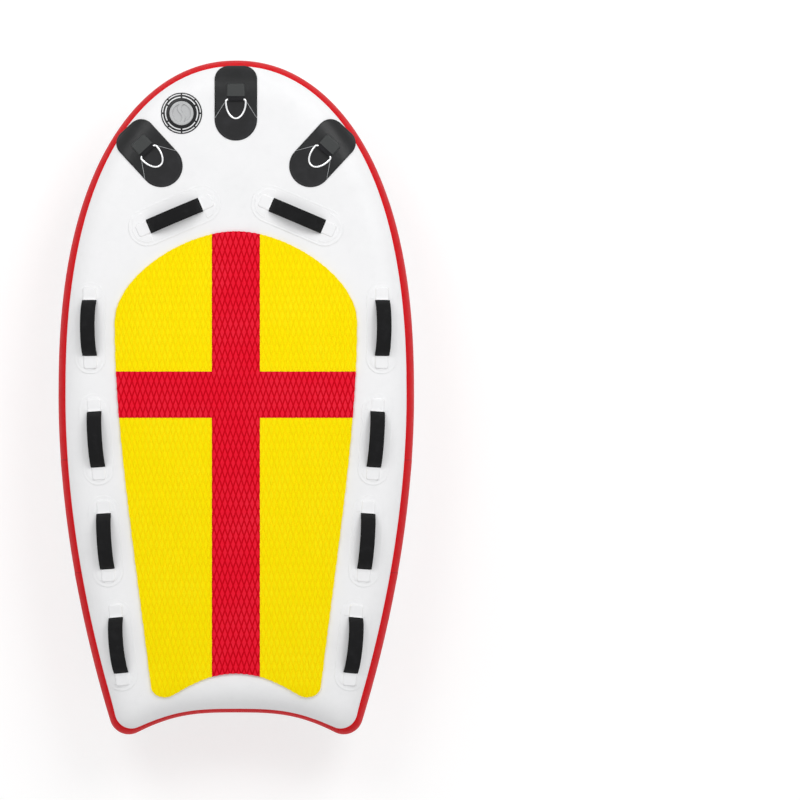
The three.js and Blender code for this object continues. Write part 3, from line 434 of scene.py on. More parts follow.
def band_lap(y):
    """A lap in the rail band: it steps up by 0.6 at a seam and runs down again over the next 45."""
    lift = np.zeros_like(y)
    for seam in BAND_SEAMS:
        past = seam - y
        lift += SEAM_STEP * np.clip(past / SEAM_RISE, 0, 1) * np.clip(1 - past / SEAM_RUN, 0, 1)
    return lift


def band_shell():
    """Rail band: a closed strip round the rail. It stands 0.9 proud, laps 5 over both skins with a rounded
    edge, and between the skins it is as thick as they are."""
    high, low = BAND_HIGH + BAND_LAP, BAND_LOW - BAND_LAP
    between = lambda start, end, count: [start + (end - start) * share for share in np.linspace(0, 1, count)]
    face = [(angle, BAND_PROUD) for angle in between(high - 0.014, low + 0.014, 25)]
    back = [(angle, -SKIN) for angle in between(low + 0.06, high - 0.06, 13)]
    profile = [(high, 0.06), (high, 0.45), (high - 0.005, 0.8), *face, (low + 0.005, 0.8), (low, 0.45),
               (low, 0.06), (low + 0.06, 0.06), *back, (high - 0.06, 0.06)]
    rows = []
    for angle, grow in profile:
        row = rail_row(angle, grow)
        if grow > 0.3:
            away = row[:, :2] - INNER
            away /= np.linalg.norm(away, axis=1, keepdims=True)
            row[:, :2] += away * band_lap(row[:, 1])[:, None]
        rows.append(row)
    return Shell().grid(np.stack(rows), row_loop=True, column_loop=True)


# The deck's height, for what lies on it
OUTLINE = resample(OUTER[:len(OUTER) // 2 + 1], 1500)


def inset(x, y):
    """The distance from a point seen from above in to the outline: the nearest of its points is found, and
    then the nearer of the two straight runs that meet there."""
    x, y = np.abs(np.asarray(x, float)), np.asarray(y, float)
    flat = np.column_stack([x.ravel(), y.ravel()])
    nearest = np.empty(len(flat))
    for k in range(0, len(flat), 4000):
        some = flat[k:k + 4000]
        at = ((OUTLINE ** 2).sum(1) - 2 * some @ OUTLINE.T).argmin(1)
        best = np.full(len(some), np.inf)
        for start in (np.clip(at - 1, 0, len(OUTLINE) - 2), np.clip(at, 0, len(OUTLINE) - 2)):
            run = OUTLINE[start + 1] - OUTLINE[start]
            away = some - OUTLINE[start]
            share = np.clip((away * run).sum(1) / (run * run).sum(1), 0, 1)[:, None]
            best = np.minimum(best, ((away - share * run) ** 2).sum(1))
        nearest[k:k + 4000] = np.sqrt(best)
    return nearest.reshape(x.shape)


def face_height(x, y, side=1):
    """The height of the deck (side 1) or the bottom (side -1): flat, then within 100 of the edge the rail's
    curve, 100 (1 - s^2.3)^(1/2.3) from the middle for a share s of the way out."""
    out = np.clip(1 - inset(x, y) / RAIL_WIDTH, 0, 0.999)
    return MIDDLE_Z + side * HALF_THICKNESS * (1 - out ** RAIL_POWER) ** (1 / RAIL_POWER) + rocker(y)


class Place:
    """A spot on the deck or the bottom, with a heading that turns clockwise from the nose."""

    def __init__(self, x, y, heading=0.0, side=1):
        self.at, self.heading, self.side = np.array([x, y], float), math.radians(heading), side
        self.ahead = np.array([math.sin(self.heading), math.cos(self.heading)])
        self.right = np.array([self.ahead[1], -self.ahead[0]])

    def plan(self, across, along):
        """X and Y of points that are given as across and along."""
        across, along = np.asarray(across, float), np.asarray(along, float)
        return self.at + across[..., None] * self.right + along[..., None] * self.ahead

    def on_hull(self, across, along, lift):
        """Points that stand off the hull by a lift, square to its surface."""
        plan = self.plan(across, along)
        x, y = plan[..., 0], plan[..., 1]
        z = face_height(x, y, self.side)
        slope_x = (face_height(x + 1, y, self.side) - face_height(x - 1, y, self.side)) / 2
        slope_y = (face_height(x, y + 1, self.side) - face_height(x, y - 1, self.side)) / 2
        up = np.stack([-slope_x, -slope_y, np.ones_like(z)], -1)
        up *= self.side / np.linalg.norm(up, axis=-1, keepdims=True)
        return np.stack([x, y, z], -1) + up * np.asarray(lift, float)[..., None]

    def frame(self, across, along, shift=0.0):
        """A rigid frame on the deck, tilted with the slope over a reach round a spot: its origin and
        axes."""
        spots = self.plan(np.array([across, -across, 0, 0, 0]), np.array([0, 0, along, -along, 0]) + shift)
        spots = np.column_stack([spots, face_height(spots[:, 0], spots[:, 1], self.side)])
        ahead = spots[2] - spots[3]
        ahead /= np.linalg.norm(ahead)
        up = np.cross(spots[0] - spots[1], ahead)
        up /= np.linalg.norm(up)
        return spots[4], np.stack([np.cross(ahead, up), ahead, up])


def placed(points, rigid):
    """Points given as across, along and up, put into a rigid frame."""
    origin, axes = rigid
    return origin + points @ axes


# Sheets welded on the hull. Distances in from a sheet's edge, with how deep its weld line lies there.
SHEET_WELD = 0.22
SHEET_EDGE = ((16, 0), (12, 0), (9, 0), (7.4, 0), (6.8, -SHEET_WELD), (5.9, -SHEET_WELD), (5.3, 0), (3, 0))
SHEET_REACH = 40


def sheet(shell, place, outline, spine, lift, thickness, weld=SHEET_WELD, centre=None):
    """A thin sheet that follows the hull: rows run from a spine out to the outline, at set distances in
    from the edge, which shrink where the spine is nearer than 40. The edge is rounded over, a shallow weld
    line runs round inside it, and the underside is closed. Where the spine is a loop, more rows close it on
    a centre."""
    away = outline - spine
    length = np.linalg.norm(away, axis=1)[:, None]
    outward = away / length
    bevel = np.minimum(0.45 * thickness, length * 0.03)
    rows = [(length * share, 0.0) for share in (1, 0.85, 0.7, 0.55, 0.42)]
    rows += [(np.minimum(distance, length * distance / SHEET_REACH), weld * dip / SHEET_WELD)
             for distance, dip in SHEET_EDGE]
    rows += [(bevel, 0.0), (bevel * 0.3, -0.25 * bevel), (bevel * 0, -bevel)]
    rows += [(bevel * 0, -thickness + bevel * 0.2)]
    rows += [(length * share, -thickness) for share in (0.12, 0.35, 0.7, 1.0)]
    plan = [outline - outward * distance for distance, _ in rows]
    height = [lift + thickness + drop + np.zeros((len(outline), 1)) for _, drop in rows]
    inside = [distance + np.zeros((len(outline), 1)) for distance, _ in rows]
    if centre is not None:
        inner = [np.array(centre) + (spine - centre) * share for share in (0, 0.35, 0.7)]
        plan = inner + plan + inner[::-1]
        height = height[:1] * 3 + height + height[-1:] * 3
        inside = inside[:1] * 3 + inside + inside[-1:] * 3
    plan, height, inside = np.stack(plan), np.stack(height)[..., 0], np.stack(inside)
    points = place.on_hull(plan[..., 0], plan[..., 1], height)
    shell.grid(points, column_loop=True, lay=np.concatenate([plan, inside], -1))


def stadium(half, length, count=96):
    """A long rounded end shape, with the spine between the centres of its two ends."""
    straight = length / 2 - half
    line = np.concatenate([arc(0, straight, half, 0, np.pi, 60), arc(0, -straight, half, np.pi, TURN, 60)])
    outline = resample(line, count, closed=True)
    spine = np.column_stack([np.zeros(count), np.clip(outline[:, 1], -straight, straight)])
    return outline, spine


def round_end(half, start, end, sign=1, count=72):
    """A tab that is square at its start and half round at its end."""
    centre = end - half
    square = np.linspace([-half, start], [half, start], 30)[:-1]
    outline = resample(np.concatenate([square, arc(0, centre, half, 0, np.pi, 40)]), count, closed=True)
    middle = start + (end - start) * 0.45
    spine = np.column_stack([outline[:, 0] * 0.3, np.clip(outline[:, 1], middle - 1, middle + 1)])
    return outline * sign, spine * sign, np.array([0, middle * sign])


# The third number of a pocket's lay, where a sheet has the distance in from its edge
RAISED = 500


def pocket(shell, place, rigid, sign, half, start, end, base, roof, thickness, shoulder=5.5, corner=5.0):
    """The part of a cover that is drawn over a strap's end: an arched tunnel, open where the strap comes
    out. Its roof lies at a height, given along the strap, in the strap's own frame. It falls smoothly over
    a shoulder round a rounded rectangle, and its feet go down into the cover."""
    across = np.linspace(-half - shoulder, half + shoulder, 49)
    along = np.concatenate([[start, start + 0.5], np.linspace(start + 2, end - corner, 8),
                            np.linspace(end - corner + 1, end + shoulder, 18)])
    a, b = np.meshgrid(across, along)
    beyond = np.hypot(np.clip(np.abs(a) - half + corner, 0, None), np.clip(b - end + corner, 0, None))
    rise = eased(1 - (beyond - corner) / shoulder)[..., None]
    foot = place.on_hull(a * sign, b * sign, np.full_like(a, base))
    top = placed(np.stack([a * sign, b * sign, roof(b)], -1), rigid)
    upper = foot + (top - foot) * rise
    lower = upper - thickness * np.clip(rise, 0.05, 1) * rigid[1][2]
    lay = np.stack([a, b, np.full_like(a, RAISED)], -1)
    shell.grid(np.concatenate([upper, lower[::-1]]), row_loop=True, lay=np.concatenate([lay, lay[::-1]]))
    for column in (0, -1):
        shell.grid(np.stack([upper[:, column], lower[:, column]]), lay=np.stack([lay[:, column]] * 2))


# Straps and sleeves
def rounded_section(half, thick, power, count):
    """A flat rounded section: x = half cos^(2/p), z = thick sin^(2/p) of an angle, evenly spread."""
    angle = np.linspace(0, TURN, 720, endpoint=False)
    shape = lambda v: np.sign(v) * np.abs(v) ** (2 / power)
    line = np.column_stack([half * shape(np.cos(angle)), thick * shape(np.sin(angle))])
    return resample(line, count, closed=True)


def sweep(shell, path, section, rigid, lean=0.0, width=1.0, thick=1.0, ripple=None):
    """Carries a section along a path given as along and up. Each ring stands square to the path, a lean
    moves it sideways as it rises, and its width and thickness may change on the way. Both ends close on
    their middle."""
    tangent = np.gradient(path, axis=0)
    tangent /= np.linalg.norm(tangent, axis=1, keepdims=True)
    width = np.broadcast_to(width, len(path))[:, None]
    thick = np.broadcast_to(thick, len(path))[:, None]
    aside = lean * path[:, 1:] / HANDLE_RISE
    across = section[None, :, 0] * width + aside
    out = section[None, :, 1] * thick
    run = np.concatenate([[0], np.cumsum(np.linalg.norm(np.diff(path, axis=0), axis=1))])
    if ripple is not None:
        out = out + ripple(across - aside, run[:, None]) * np.sign(section[None, :, 1])
    points = np.stack([across, path[:, :1] - tangent[:, 1:] * out, path[:, 1:] + tangent[:, :1] * out], -1)
    lay = [section[None, :, 0] * width, np.broadcast_to(run[:, None], out.shape), np.zeros_like(out)]
    lay = np.stack(lay, -1)
    middle = [np.broadcast_to(points[k].mean(0), (1, *points.shape[1:])) for k in (0, -1)]
    points = np.concatenate([middle[0], points, middle[1]])
    lay = np.concatenate([lay[:1], lay, lay[-1:]])
    shell.grid(placed(points, rigid), column_loop=True, lay=lay)


TAB_HEIGHT = 2 * SEAT_GAP + PATCH_SHEET + STRAP_THICKNESS / 2


def strap_path(count):
    """The strap's middle line: flat in its two pockets, and an arch between them."""
    half_span = HANDLE_SPAN / 2
    shares = ((1.09, 0), (1.0, 0.1), (0.74, 0.62), (0.34, 1.0))
    half = [(half_span + TAB_REACH - STRAP_END_ROOM, TAB_HEIGHT), (half_span + TAB_REACH / 2, TAB_HEIGHT)]
    half += [(a * half_span, TAB_HEIGHT + u * HANDLE_RISE) for a, u in shares]
    return hermite(half + [(-a, u) for a, u in half[::-1]], count)


# Shader maths
class Wire:
    """The output of a shader node. Arithmetic on it adds Math nodes to its material."""

    def __init__(self, look, socket):
        self.look, self.socket = look, socket

    def math(self, operation, *others, clamp=False):
        values = dict(enumerate((self, *others)))
        return self.look.node("ShaderNodeMath", {"operation": operation, "use_clamp": clamp}, values)

    def __add__(self, other):
        return self.math("ADD", other)

    def __sub__(self, other):
        return self.math("SUBTRACT", other)

    def __mul__(self, other):
        return self.math("MULTIPLY", other)

    def __rsub__(self, other):
        return self.look.node("ShaderNodeMath", {"operation": "SUBTRACT"}, {0: other, 1: self})

    __radd__, __rmul__ = __add__, __mul__

    def step(self, start, end):
        """0 up to a start and 1 from an end on, with an even ramp between them."""
        return ((self - start) * (1 / (end - start))).math("MINIMUM", 1.0).math("MAXIMUM", 0.0)

    def wave(self, length, shift=0.0):
        """A sine of that wavelength, between 0 and 1."""
        return (self * (TURN / length) + shift).math("SINE") * 0.5 + 0.5


class Look:
    """A material. Fixed numbers and colours go straight to its shader's sockets."""

    def __init__(self, name, **fixed):
        self.material = bpy.data.materials.new(name)
        self.material.use_nodes = True
        self.tree = self.material.node_tree
        self.shader = self.tree.nodes["Principled BSDF"]
        for socket, value in fixed.items():
            self.shader.inputs[socket.replace("_", " ")].default_value = value

    def put(self, socket, value):
        """Links a wire to a socket, or sets the socket to a value."""
        if isinstance(value, Wire):
            self.tree.links.new(value.socket, socket)
        else:
            socket.default_value = value

    def node(self, kind, settings, values, output=0):
        """A node with its settings and the values or wires of its sockets."""
        made = self.tree.nodes.new(kind)
        for setting, value in settings.items():
            setattr(made, setting, value)
        for socket, value in values.items():
            self.put(made.inputs[socket], value)
        return Wire(self, made.outputs[output])

    def place(self, stretch=None):
        """Object coordinates, in metres, stretched along each axis if need be."""
        at = self.node("ShaderNodeTexCoord", {}, {}, "Object")
        return at if stretch is None else self.node("ShaderNodeMapping", {}, {"Vector": at, "Scale": stretch})

    def noise(self, scale, detail=2.0, rough=0.5, at=None):
        """Cloudy noise between 0 and 1, on object coordinates if no other place is given."""
        values = {"Vector": at or self.place(), "Scale": scale, "Detail": detail, "Roughness": rough}
        return self.node("ShaderNodeTexNoise", {}, values)

    def split(self, vector):
        """The three numbers of a vector."""
        made = self.tree.nodes.new("ShaderNodeSeparateXYZ")
        self.put(made.inputs[0], vector)
        return [Wire(self, made.outputs[k]) for k in range(3)]

    def lay(self):
        """The place on the piece that its mesh carries: across, along and a third number, in metres."""
        return self.split(self.node("ShaderNodeAttribute", {"attribute_name": "lay"}, {}, "Vector"))

    def blend(self, factor, first, second):
        """A colour that goes from the first to the second as a factor goes from 0 to 1."""
        return self.node("ShaderNodeMix", {"data_type": "RGBA"}, {0: factor, 6: first, 7: second}, 2)

    def finish(self, colour, rough, height=None, depth=0.0001, under=None):
        """Connects colour and roughness, and one or two bumps whose heights run from 0 to 1 over a
        depth."""
        self.put(self.shader.inputs["Base Color"], colour)
        self.put(self.shader.inputs["Roughness"], rough)
        bump = None
        for heights, deep in ([under] if under else []) + ([(height, depth)] if height else []):
            values = {"Height": heights, "Distance": deep, "Strength": 1.0}
            if bump:
                values["Normal"] = bump
            bump = self.node("ShaderNodeBump", {}, values)
        if bump:
            self.put(self.shader.inputs["Normal"], bump)
        return self.material


def paint(red, green, blue):
    """A colour on the display's 0 to 255 scale as the shader's linear values."""
    value = np.array([red, green, blue]) / 255
    return (*np.where(value <= 0.04045, value / 12.92, ((value + 0.055) / 1.055) ** 2.4).tolist(), 1.0)


def coated_fabric(name, clean, soiled, rough, spread=0.35, specular=0.4, seams=None):
    """PVC-coated fabric: the woven base shows faintly through a smooth coat, with soft uneven soiling, fine
    scuffs and a low relief where the tension of the fabric differs. Where a seam colour is given, a line
    1.3 wide of it runs across at each seam of the band."""
    look = Look(name, Specular_IOR_Level=specular)
    cloud = look.noise(5.5, 4.0, 0.6)
    dust = look.noise(38.0, 3.0, 0.65)
    soil = (cloud.step(0.46, 0.72) * 0.6 + dust.step(0.5, 0.8) * 0.4) * spread
    colour = look.blend(soil, clean, soiled)
    x, y, z = look.split(look.place())
    for seam in BAND_SEAMS if seams else ():
        colour = look.blend(1 - (y - seam * MM).math("ABSOLUTE").step(0.0004, 0.0009), colour, seams)
    grain = look.noise(1400.0, 2.0)
    weave = (x + z).wave(0.0014) * (y + z).wave(0.0014) * 0.6 + grain * 0.4
    slack = look.noise(24.0, 1.0)
    return look.finish(colour, dust * 0.16 + (rough - 0.08), weave, 0.00005, under=(slack, 0.0007))


def foam(name, top, top_worn, groove):
    """EVA foam: closed cells show as a fine matt grain, raised faces are scuffed, grooves are painted shade.
    """
    look = Look(name, Specular_IOR_Level=0.05)
    height = look.lay()[2]
    # low marks the grooves, which are painted darker: painted shade in the recesses.
    low = 1 - height.step(0.0050, 0.0058)
    worn = look.noise(9.0, 4.0, 0.62).step(0.42, 0.75)
    cells = look.noise(1500.0, 2.0, 0.7)
    raised = look.blend(worn * 0.5 + cells * 0.12, top, top_worn)
    colour = look.blend(low, raised, groove)
    return look.finish(colour, worn * -0.08 + 0.74, cells, 0.00014)


def rubber_sheet(name, base, light, edge=None, pocket_highlight=None, rings=None):
    """Black coated fabric: fine calender grain and dusty scuffs that lighten it. A cover also has a pale band
    just inside its edge along its end and the two legs of its vee, and its raised pocket is painted lighter
    as a painted highlight. A ring patch has two printed rings with gaps."""
    look = Look(name, Specular_IOR_Level=0.28)
    across, along, inside = look.lay()
    scuff = look.noise(26.0, 4.0, 0.66).step(0.45, 0.78)
    grain = look.noise(1200.0, 2.0)
    colour = look.blend(scuff * 0.55 + grain * 0.1, base, light)
    if edge:
        # A pale band 2.1 to 2.7 in from the cover's edge, along the two legs of its vee.
        beyond = across.math("ABSOLUTE") + (along - VEE_LEG * MM) * VEE_SLOPE - (TOW_RADIUS - 1) * MM
        legs = (1 - along.step(0.0485, 0.0495)) * (1 - beyond.step(0.0028, 0.0034))
        colour = look.blend((1 - inside.step(0.0021, 0.0027)) * legs, colour, edge)
        # The raised pocket over the strap's end is painted lighter: a painted highlight.
        colour = look.blend(inside.step(0.45, 0.46), colour, pocket_highlight)
    if rings:
        angle = across.math("ARCTAN2", along)
        blur = 0.0002
        printed = lambda radius, half, gaps: (
            inside.step(radius - half - blur, radius - half)
            * (1 - inside.step(radius + half, radius + half + blur))
            * (angle * gaps).math("SINE").math("ABSOLUTE").step(0.16, 0.19))
        both = printed(0.0449, 0.0015, 3).math("MAXIMUM", printed(0.0531, 0.0013, 4))
        colour = look.blend(both, colour, rings)
    return look.finish(colour, scuff * 0.1 + 0.36, grain, 0.00005, under=(look.noise(60.0, 2.0), 0.0003))


def woven_strap(name, dark, light):
    """Nylon webbing: ribs of yarn along the strap that pass over and under the cross yarns in turn."""
    look = Look(name, Specular_IOR_Level=0.16)
    across, along, _ = look.lay()
    ribs = across.wave(0.0026)
    over = (along + across.math("ABSOLUTE") * 0.6).wave(0.0019) * ribs
    over = over + along.wave(0.0019, np.pi) * (1 - ribs)
    fuzz = look.noise(1800.0, 2.0, 0.7)
    height = over * 0.75 + fuzz * 0.25
    colour = look.blend(height * 0.7 + look.noise(40.0, 3.0).step(0.5, 0.8) * 0.2, dark, light)
    return look.finish(colour, height * -0.1 + 0.78, height, 0.00035)


def padded_fabric(name, dark, light, thread):
    """Neoprene with knitted nylon on its face: rows of tiny loops, a hem stitched at both ends, and lint.
    The third number of its lay is the distance from the nearer end."""
    look = Look(name, Specular_IOR_Level=0.15, Sheen_Weight=0.05, Sheen_Roughness=0.45)
    across, along, end = look.lay()
    loops = across.wave(0.0011) * 0.5 + (along + across.wave(0.0011) * 0.0003).wave(0.0013) * 0.5
    lint = look.noise(34.0, 4.0, 0.65).step(0.5, 0.8)
    fuzz = look.noise(1600.0, 2.0, 0.7)
    stitch = end.step(0.0051, 0.0053) * (1 - end.step(0.0061, 0.0063)) * across.wave(0.0034).step(0.3, 0.4)
    colour = look.blend(lint * 0.3 + loops * 0.16, dark, light)
    colour = look.blend(stitch, colour, thread)
    return look.finish(colour, 0.8 - lint * 0.08, loops * 0.6 + fuzz * 0.4, 0.0004, under=(stitch, 0.0004))


def moulded(name, base, light, rough, grain_scale, grain_depth, flow=None, specular=0.45):
    """Moulded plastic: an even spark-eroded grain, faint flow marks, stretched if need be, and scuffs."""
    look = Look(name, Specular_IOR_Level=specular)
    flow_marks = look.noise(18.0, 3.0, 0.6, look.place(flow) if flow else None)
    grain = look.noise(grain_scale, 2.0, 0.6)
    scuff = look.noise(70.0, 4.0, 0.7).step(0.5, 0.8)
    colour = look.blend((flow_marks.step(0.4, 0.75) * 0.6 + scuff * 0.4) * 0.4, base, light)
    return look.finish(colour, scuff * 0.14 + rough, grain, grain_depth)


def polished_steel(name):
    """Bent stainless wire, tumbled: bright, with fine scratches and slight smears."""
    look = Look(name, Metallic=1.0, Specular_IOR_Level=0.5)
    smear = look.noise(90.0, 3.0, 0.6)
    scratch = look.noise(900.0, 3.0, 0.7, look.place((1.0, 0.15, 1.0)))
    colour = look.blend(smear, paint(246, 246, 247), paint(228, 229, 231))
    return look.finish(colour, smear * 0.08 + scratch * 0.06 + 0.14, scratch, 0.000004)


WHITE_PVC = coated_fabric("white coated fabric", paint(245, 245, 246), paint(228, 229, 230), 0.42,
                          specular=0.2)
RED_PVC = coated_fabric("red coated fabric", paint(216, 8, 22), paint(190, 2, 16), 0.5, spread=0.5,
                        specular=0.08, seams=paint(150, 0, 12))
HANDLE_PVC = coated_fabric("white patch fabric", paint(245, 245, 246), paint(229, 231, 232), 0.4, spread=0.3,
                           specular=0.2)
CHAMBER = coated_fabric("chamber fabric", paint(205, 207, 209), paint(176, 178, 182), 0.7, spread=0.6)
# The last colour of each foam is the painted shade of its grooves.
RED_FOAM = foam("red foam", paint(238, 22, 48), paint(238, 50, 70), paint(204, 0, 24))
YELLOW_FOAM = foam("yellow foam", paint(255, 232, 0), paint(255, 236, 18), paint(254, 224, 0))
BLACK_PVC = rubber_sheet("black coated fabric", paint(20, 20, 22), paint(38, 38, 41))
# The cover's last colour is a painted highlight on its raised pocket.
COVER_PVC = rubber_sheet("black cover fabric", paint(20, 21, 22), paint(38, 39, 41),
                         edge=paint(176, 178, 180), pocket_highlight=paint(58, 60, 60))
RINGED_PVC = rubber_sheet("black ringed fabric", paint(20, 20, 22), paint(38, 38, 41),
                          rings=paint(232, 233, 234))
WEBBING = woven_strap("black webbing", paint(14, 14, 15), paint(46, 46, 49))
NEOPRENE = padded_fabric("black neoprene", paint(17, 17, 18), paint(42, 42, 44), paint(70, 70, 73))
STEEL = polished_steel("stainless steel")
VALVE_BLACK = moulded("black valve plastic", paint(26, 27, 29), paint(46, 47, 50), 0.42, 900.0, 0.00005,
                      specular=0.3)
VALVE_GREY = moulded("grey valve plastic", paint(184, 185, 186), paint(202, 203, 204), 0.38, 900.0, 0.00005)
FIN_BLACK = moulded("blue-black fin plastic", paint(16, 26, 37), paint(36, 47, 58), 0.34, 1100.0, 0.00008,
                    flow=(1.0, 0.35, 1.0), specular=0.4)


# Meeting one closed mesh with another
def block(outline, levels):
    """A closed upright block: the outline moved out by a set amount at each level, square to itself. The
    normals point outwards, whichever way round the outline runs."""
    before, after = np.roll(outline, 1, 0) - outline, outline - np.roll(outline, -1, 0)
    normal = np.stack([(before + after)[:, 1], -(before + after)[:, 0]], -1)
    normal /= np.linalg.norm(normal, axis=1, keepdims=True)
    if (outline[:, 0] * np.roll(outline[:, 1], -1) - outline[:, 1] * np.roll(outline[:, 0], -1)).sum() > 0:
        normal = -normal
    work = bmesh.new()
    rings = []
    for z, outward in levels:
        points = np.column_stack([outline + normal * outward, np.full(len(outline), z)]) * MM
        rings.append([work.verts.new(p) for p in points.tolist()])
    count = len(outline)
    for low, high in zip(rings[:-1], rings[1:]):
        for k in range(count):
            work.faces.new((low[k], low[(k + 1) % count], high[(k + 1) % count], high[k]))
    work.faces.new(rings[0][::-1])
    work.faces.new(rings[-1])
    bmesh.ops.recalc_face_normals(work, faces=work.faces)
    mesh = bpy.data.meshes.new("block")
    work.to_mesh(mesh)
    work.free()
    return mesh


def met(mesh, tool, operation):
    """What two closed meshes share, or the first without the second."""
    things = [bpy.data.objects.new(name, data) for name, data in (("work", mesh), ("tool", tool))]
    for thing in things:
        bpy.context.scene.collection.objects.link(thing)
    modifier = things[0].modifiers.new("meet", "BOOLEAN")
    modifier.operation, modifier.object, modifier.solver = operation, things[1], "MANIFOLD"
    graph = bpy.context.evaluated_depsgraph_get()
    result = bpy.data.meshes.new_from_object(things[0].evaluated_get(graph), depsgraph=graph)
    for thing in things:
        bpy.data.objects.remove(thing)
    return result


def mesh_points(mesh):
    """The points of a mesh, in millimetres."""
    points = np.empty(len(mesh.vertices) * 3, np.float32)
    mesh.vertices.foreach_get("co", points)
    return points.reshape(-1, 3).astype(float) / MM


# Hull
deck = skin_shell(1).piece("deck_skin", "board", "white_pvc", WHITE_PVC, ["deck_skin"])
valve_high = float(face_height(np.array(VALVE_X), np.array(VALVE_Y)))
hole = arc(VALVE_X, VALVE_Y, VALVE_HOLE, 0, TURN, 97)[:-1]
deck.data = met(deck.data, block(hole, ((230, 0), (330, 0))), "DIFFERENCE")
deck.data.set_sharp_from_angle(angle=math.radians(CREASE_ANGLE))
skin_shell(-1).piece("bottom_skin", "board", "white_pvc", WHITE_PVC, ["bottom_skin"])
band_shell().piece("rail_band", "board", "red_pvc", RED_PVC, ["rail_band"])
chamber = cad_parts["air_chamber"]
for place_of_material in chamber.material_slots:
    place_of_material.link = "OBJECT"
    place_of_material.material = CHAMBER


# Traction pad
PAD_LOW = HULL_BOTTOM + 2 * HALF_THICKNESS + SEAT_GAP
PAD_HIGH = PAD_LOW + PAD_THICKNESS


def pad_edge():
    """The right side of the pad's outline, from its front to its rear: a cubic curve between each two
    corners. The corners are then rounded by a running mean, whose weights fall as a bell curve over the
    next 9 or so, and the rear end keeps its own line."""
    corners = np.array(PAD_CORNERS) * (PAD_HALF_WIDTH, 1)
    parts = []
    for k, pulls in enumerate(PAD_CURVES):
        start, run = corners[k], corners[k + 1] - corners[k]
        first, second = start + np.array(pulls[:2]) * run, start + np.array(pulls[2:]) * run
        parts.append(bezier(start, first, second, corners[k + 1], np.linspace(0, 1, 60))[:-1])
    line = np.concatenate([*parts, corners[-1:]])
    fine, rear_end = 1200, 60
    line = resample(np.concatenate([line[::-1] * (-1, 1), line[1:]]), 2 * fine + 1)
    weight = np.exp(-(np.arange(-40, 41) * 1.4 / 9.0) ** 2 / 2)
    soft = np.stack([np.convolve(line[:, k], weight / weight.sum(), "same") for k in (0, 1)], -1)[fine:]
    soft[0], soft[-rear_end:] = (0, soft[0, 1]), line[fine:][-rear_end:]
    return soft[::4]


def crossing(line, axis, value):
    """Where a line crosses a value of X or Y: the shares of its run, and the points."""
    here, there = line[:-1, axis] - value, line[1:, axis] - value
    k = np.nonzero(here * there < 0)[0]
    share = here[k] / (here[k] - there[k])
    return k + share, line[k] + (line[k + 1] - line[k]) * share[:, None]


def panel_outlines():
    """The cross and the two panels on its right, each as a closed line within the pad's outline."""
    line = pad_edge()
    order = np.arange(len(line))

    def stretch(start, end):
        """The line between two crossings, with the crossing points as its ends."""
        between = line[(order > start[0] + 1e-6) & (order < end[0] - 1e-6)]
        return np.concatenate([start[1][None], between, end[1][None]])

    def at(axis, value, which):
        """One of the places where the line crosses a value of X or Y: its share, and its point."""
        shares, points = crossing(line, axis, value)
        return shares[which], points[which]

    bar, inner = CROSS_HALF_BAR, CROSS_HALF_BAR + SEAT_GAP
    front, rear = CROSS_ARM_FRONT, CROSS_ARM_REAR
    ends = (0, line[0]), (len(line) - 1, line[-1])
    right = np.concatenate([stretch(ends[0], at(0, bar, 0)), [(bar, front)],
                            stretch(at(1, front, 0), at(1, rear, 0)), [(bar, rear)],
                            stretch(at(0, bar, -1), ends[1])])
    cross = np.concatenate([right, right[-2:0:-1] * (-1, 1)])
    fore = np.concatenate([stretch(at(0, inner, 0), at(1, front + SEAT_GAP, 0)), [(inner, front + SEAT_GAP)]])
    aft = np.concatenate([stretch(at(1, rear - SEAT_GAP, 0), at(0, inner, -1)), [(inner, rear - SEAT_GAP)]])
    return cross, fore, aft


def diamond_slab(outline):
    """A slab whose top is moulded in long diamonds: on a lattice of two slanted coordinates, x/15.4 + y/46
    and x/15.4 - y/46, the top drops into a groove wherever either is near a whole number. It reaches past
    the outline on all sides, to be cut to it."""
    steps = np.array([0, 0.085, 0.18, 0.5, 0.82, 0.915])
    deep = np.array([1, 1, 0, -0.2, 0, 1])
    low, high = outline.min(0) - 30, outline.max(0) + 30
    corners = np.array([(x, y) for x in (low[0], high[0]) for y in (low[1], high[1])])
    slant = np.stack([corners[:, 0] / DIAMOND_WIDTH + corners[:, 1] / DIAMOND_LENGTH,
                      corners[:, 0] / DIAMOND_WIDTH - corners[:, 1] / DIAMOND_LENGTH])
    start, end = np.floor(slant.min(1)).astype(int), np.ceil(slant.max(1)).astype(int)
    us = (np.arange(start[0], end[0])[:, None] + steps).ravel()
    vs = (np.arange(start[1], end[1])[:, None] + steps).ravel()
    u, v = np.meshgrid(us, vs, indexing="ij")
    drop = np.maximum(np.tile(deep, end[0] - start[0])[:, None], np.tile(deep, end[1] - start[1])[None, :])
    x, y = DIAMOND_WIDTH * (u + v) / 2, DIAMOND_LENGTH * (u - v) / 2
    points = np.stack([x, y, PAD_HIGH - GROOVE_DEPTH * drop], -1).reshape(-1, 3)
    faces = grid_faces(len(us), len(vs))
    middle = points[faces].mean(1)[:, :2]
    faces = faces[((middle > low) & (middle < high)).all(1)]
    count = len(points)
    edges = np.concatenate([faces[:, [k, (k + 1) % 4]] for k in range(4)])
    key = np.sort(edges, 1) @ np.array([count, 1])
    _, where, times = np.unique(key, return_index=True, return_counts=True)
    rim = edges[where[times == 1]]
    under = points * (1, 1, 0) + (0, 0, PAD_LOW - 40)
    walls = np.stack([rim[:, 1], rim[:, 0], rim[:, 0] + count, rim[:, 1] + count], -1)
    faces = np.concatenate([faces, faces[:, ::-1] + count, walls])
    return Shell().add(np.concatenate([points, under]), faces)


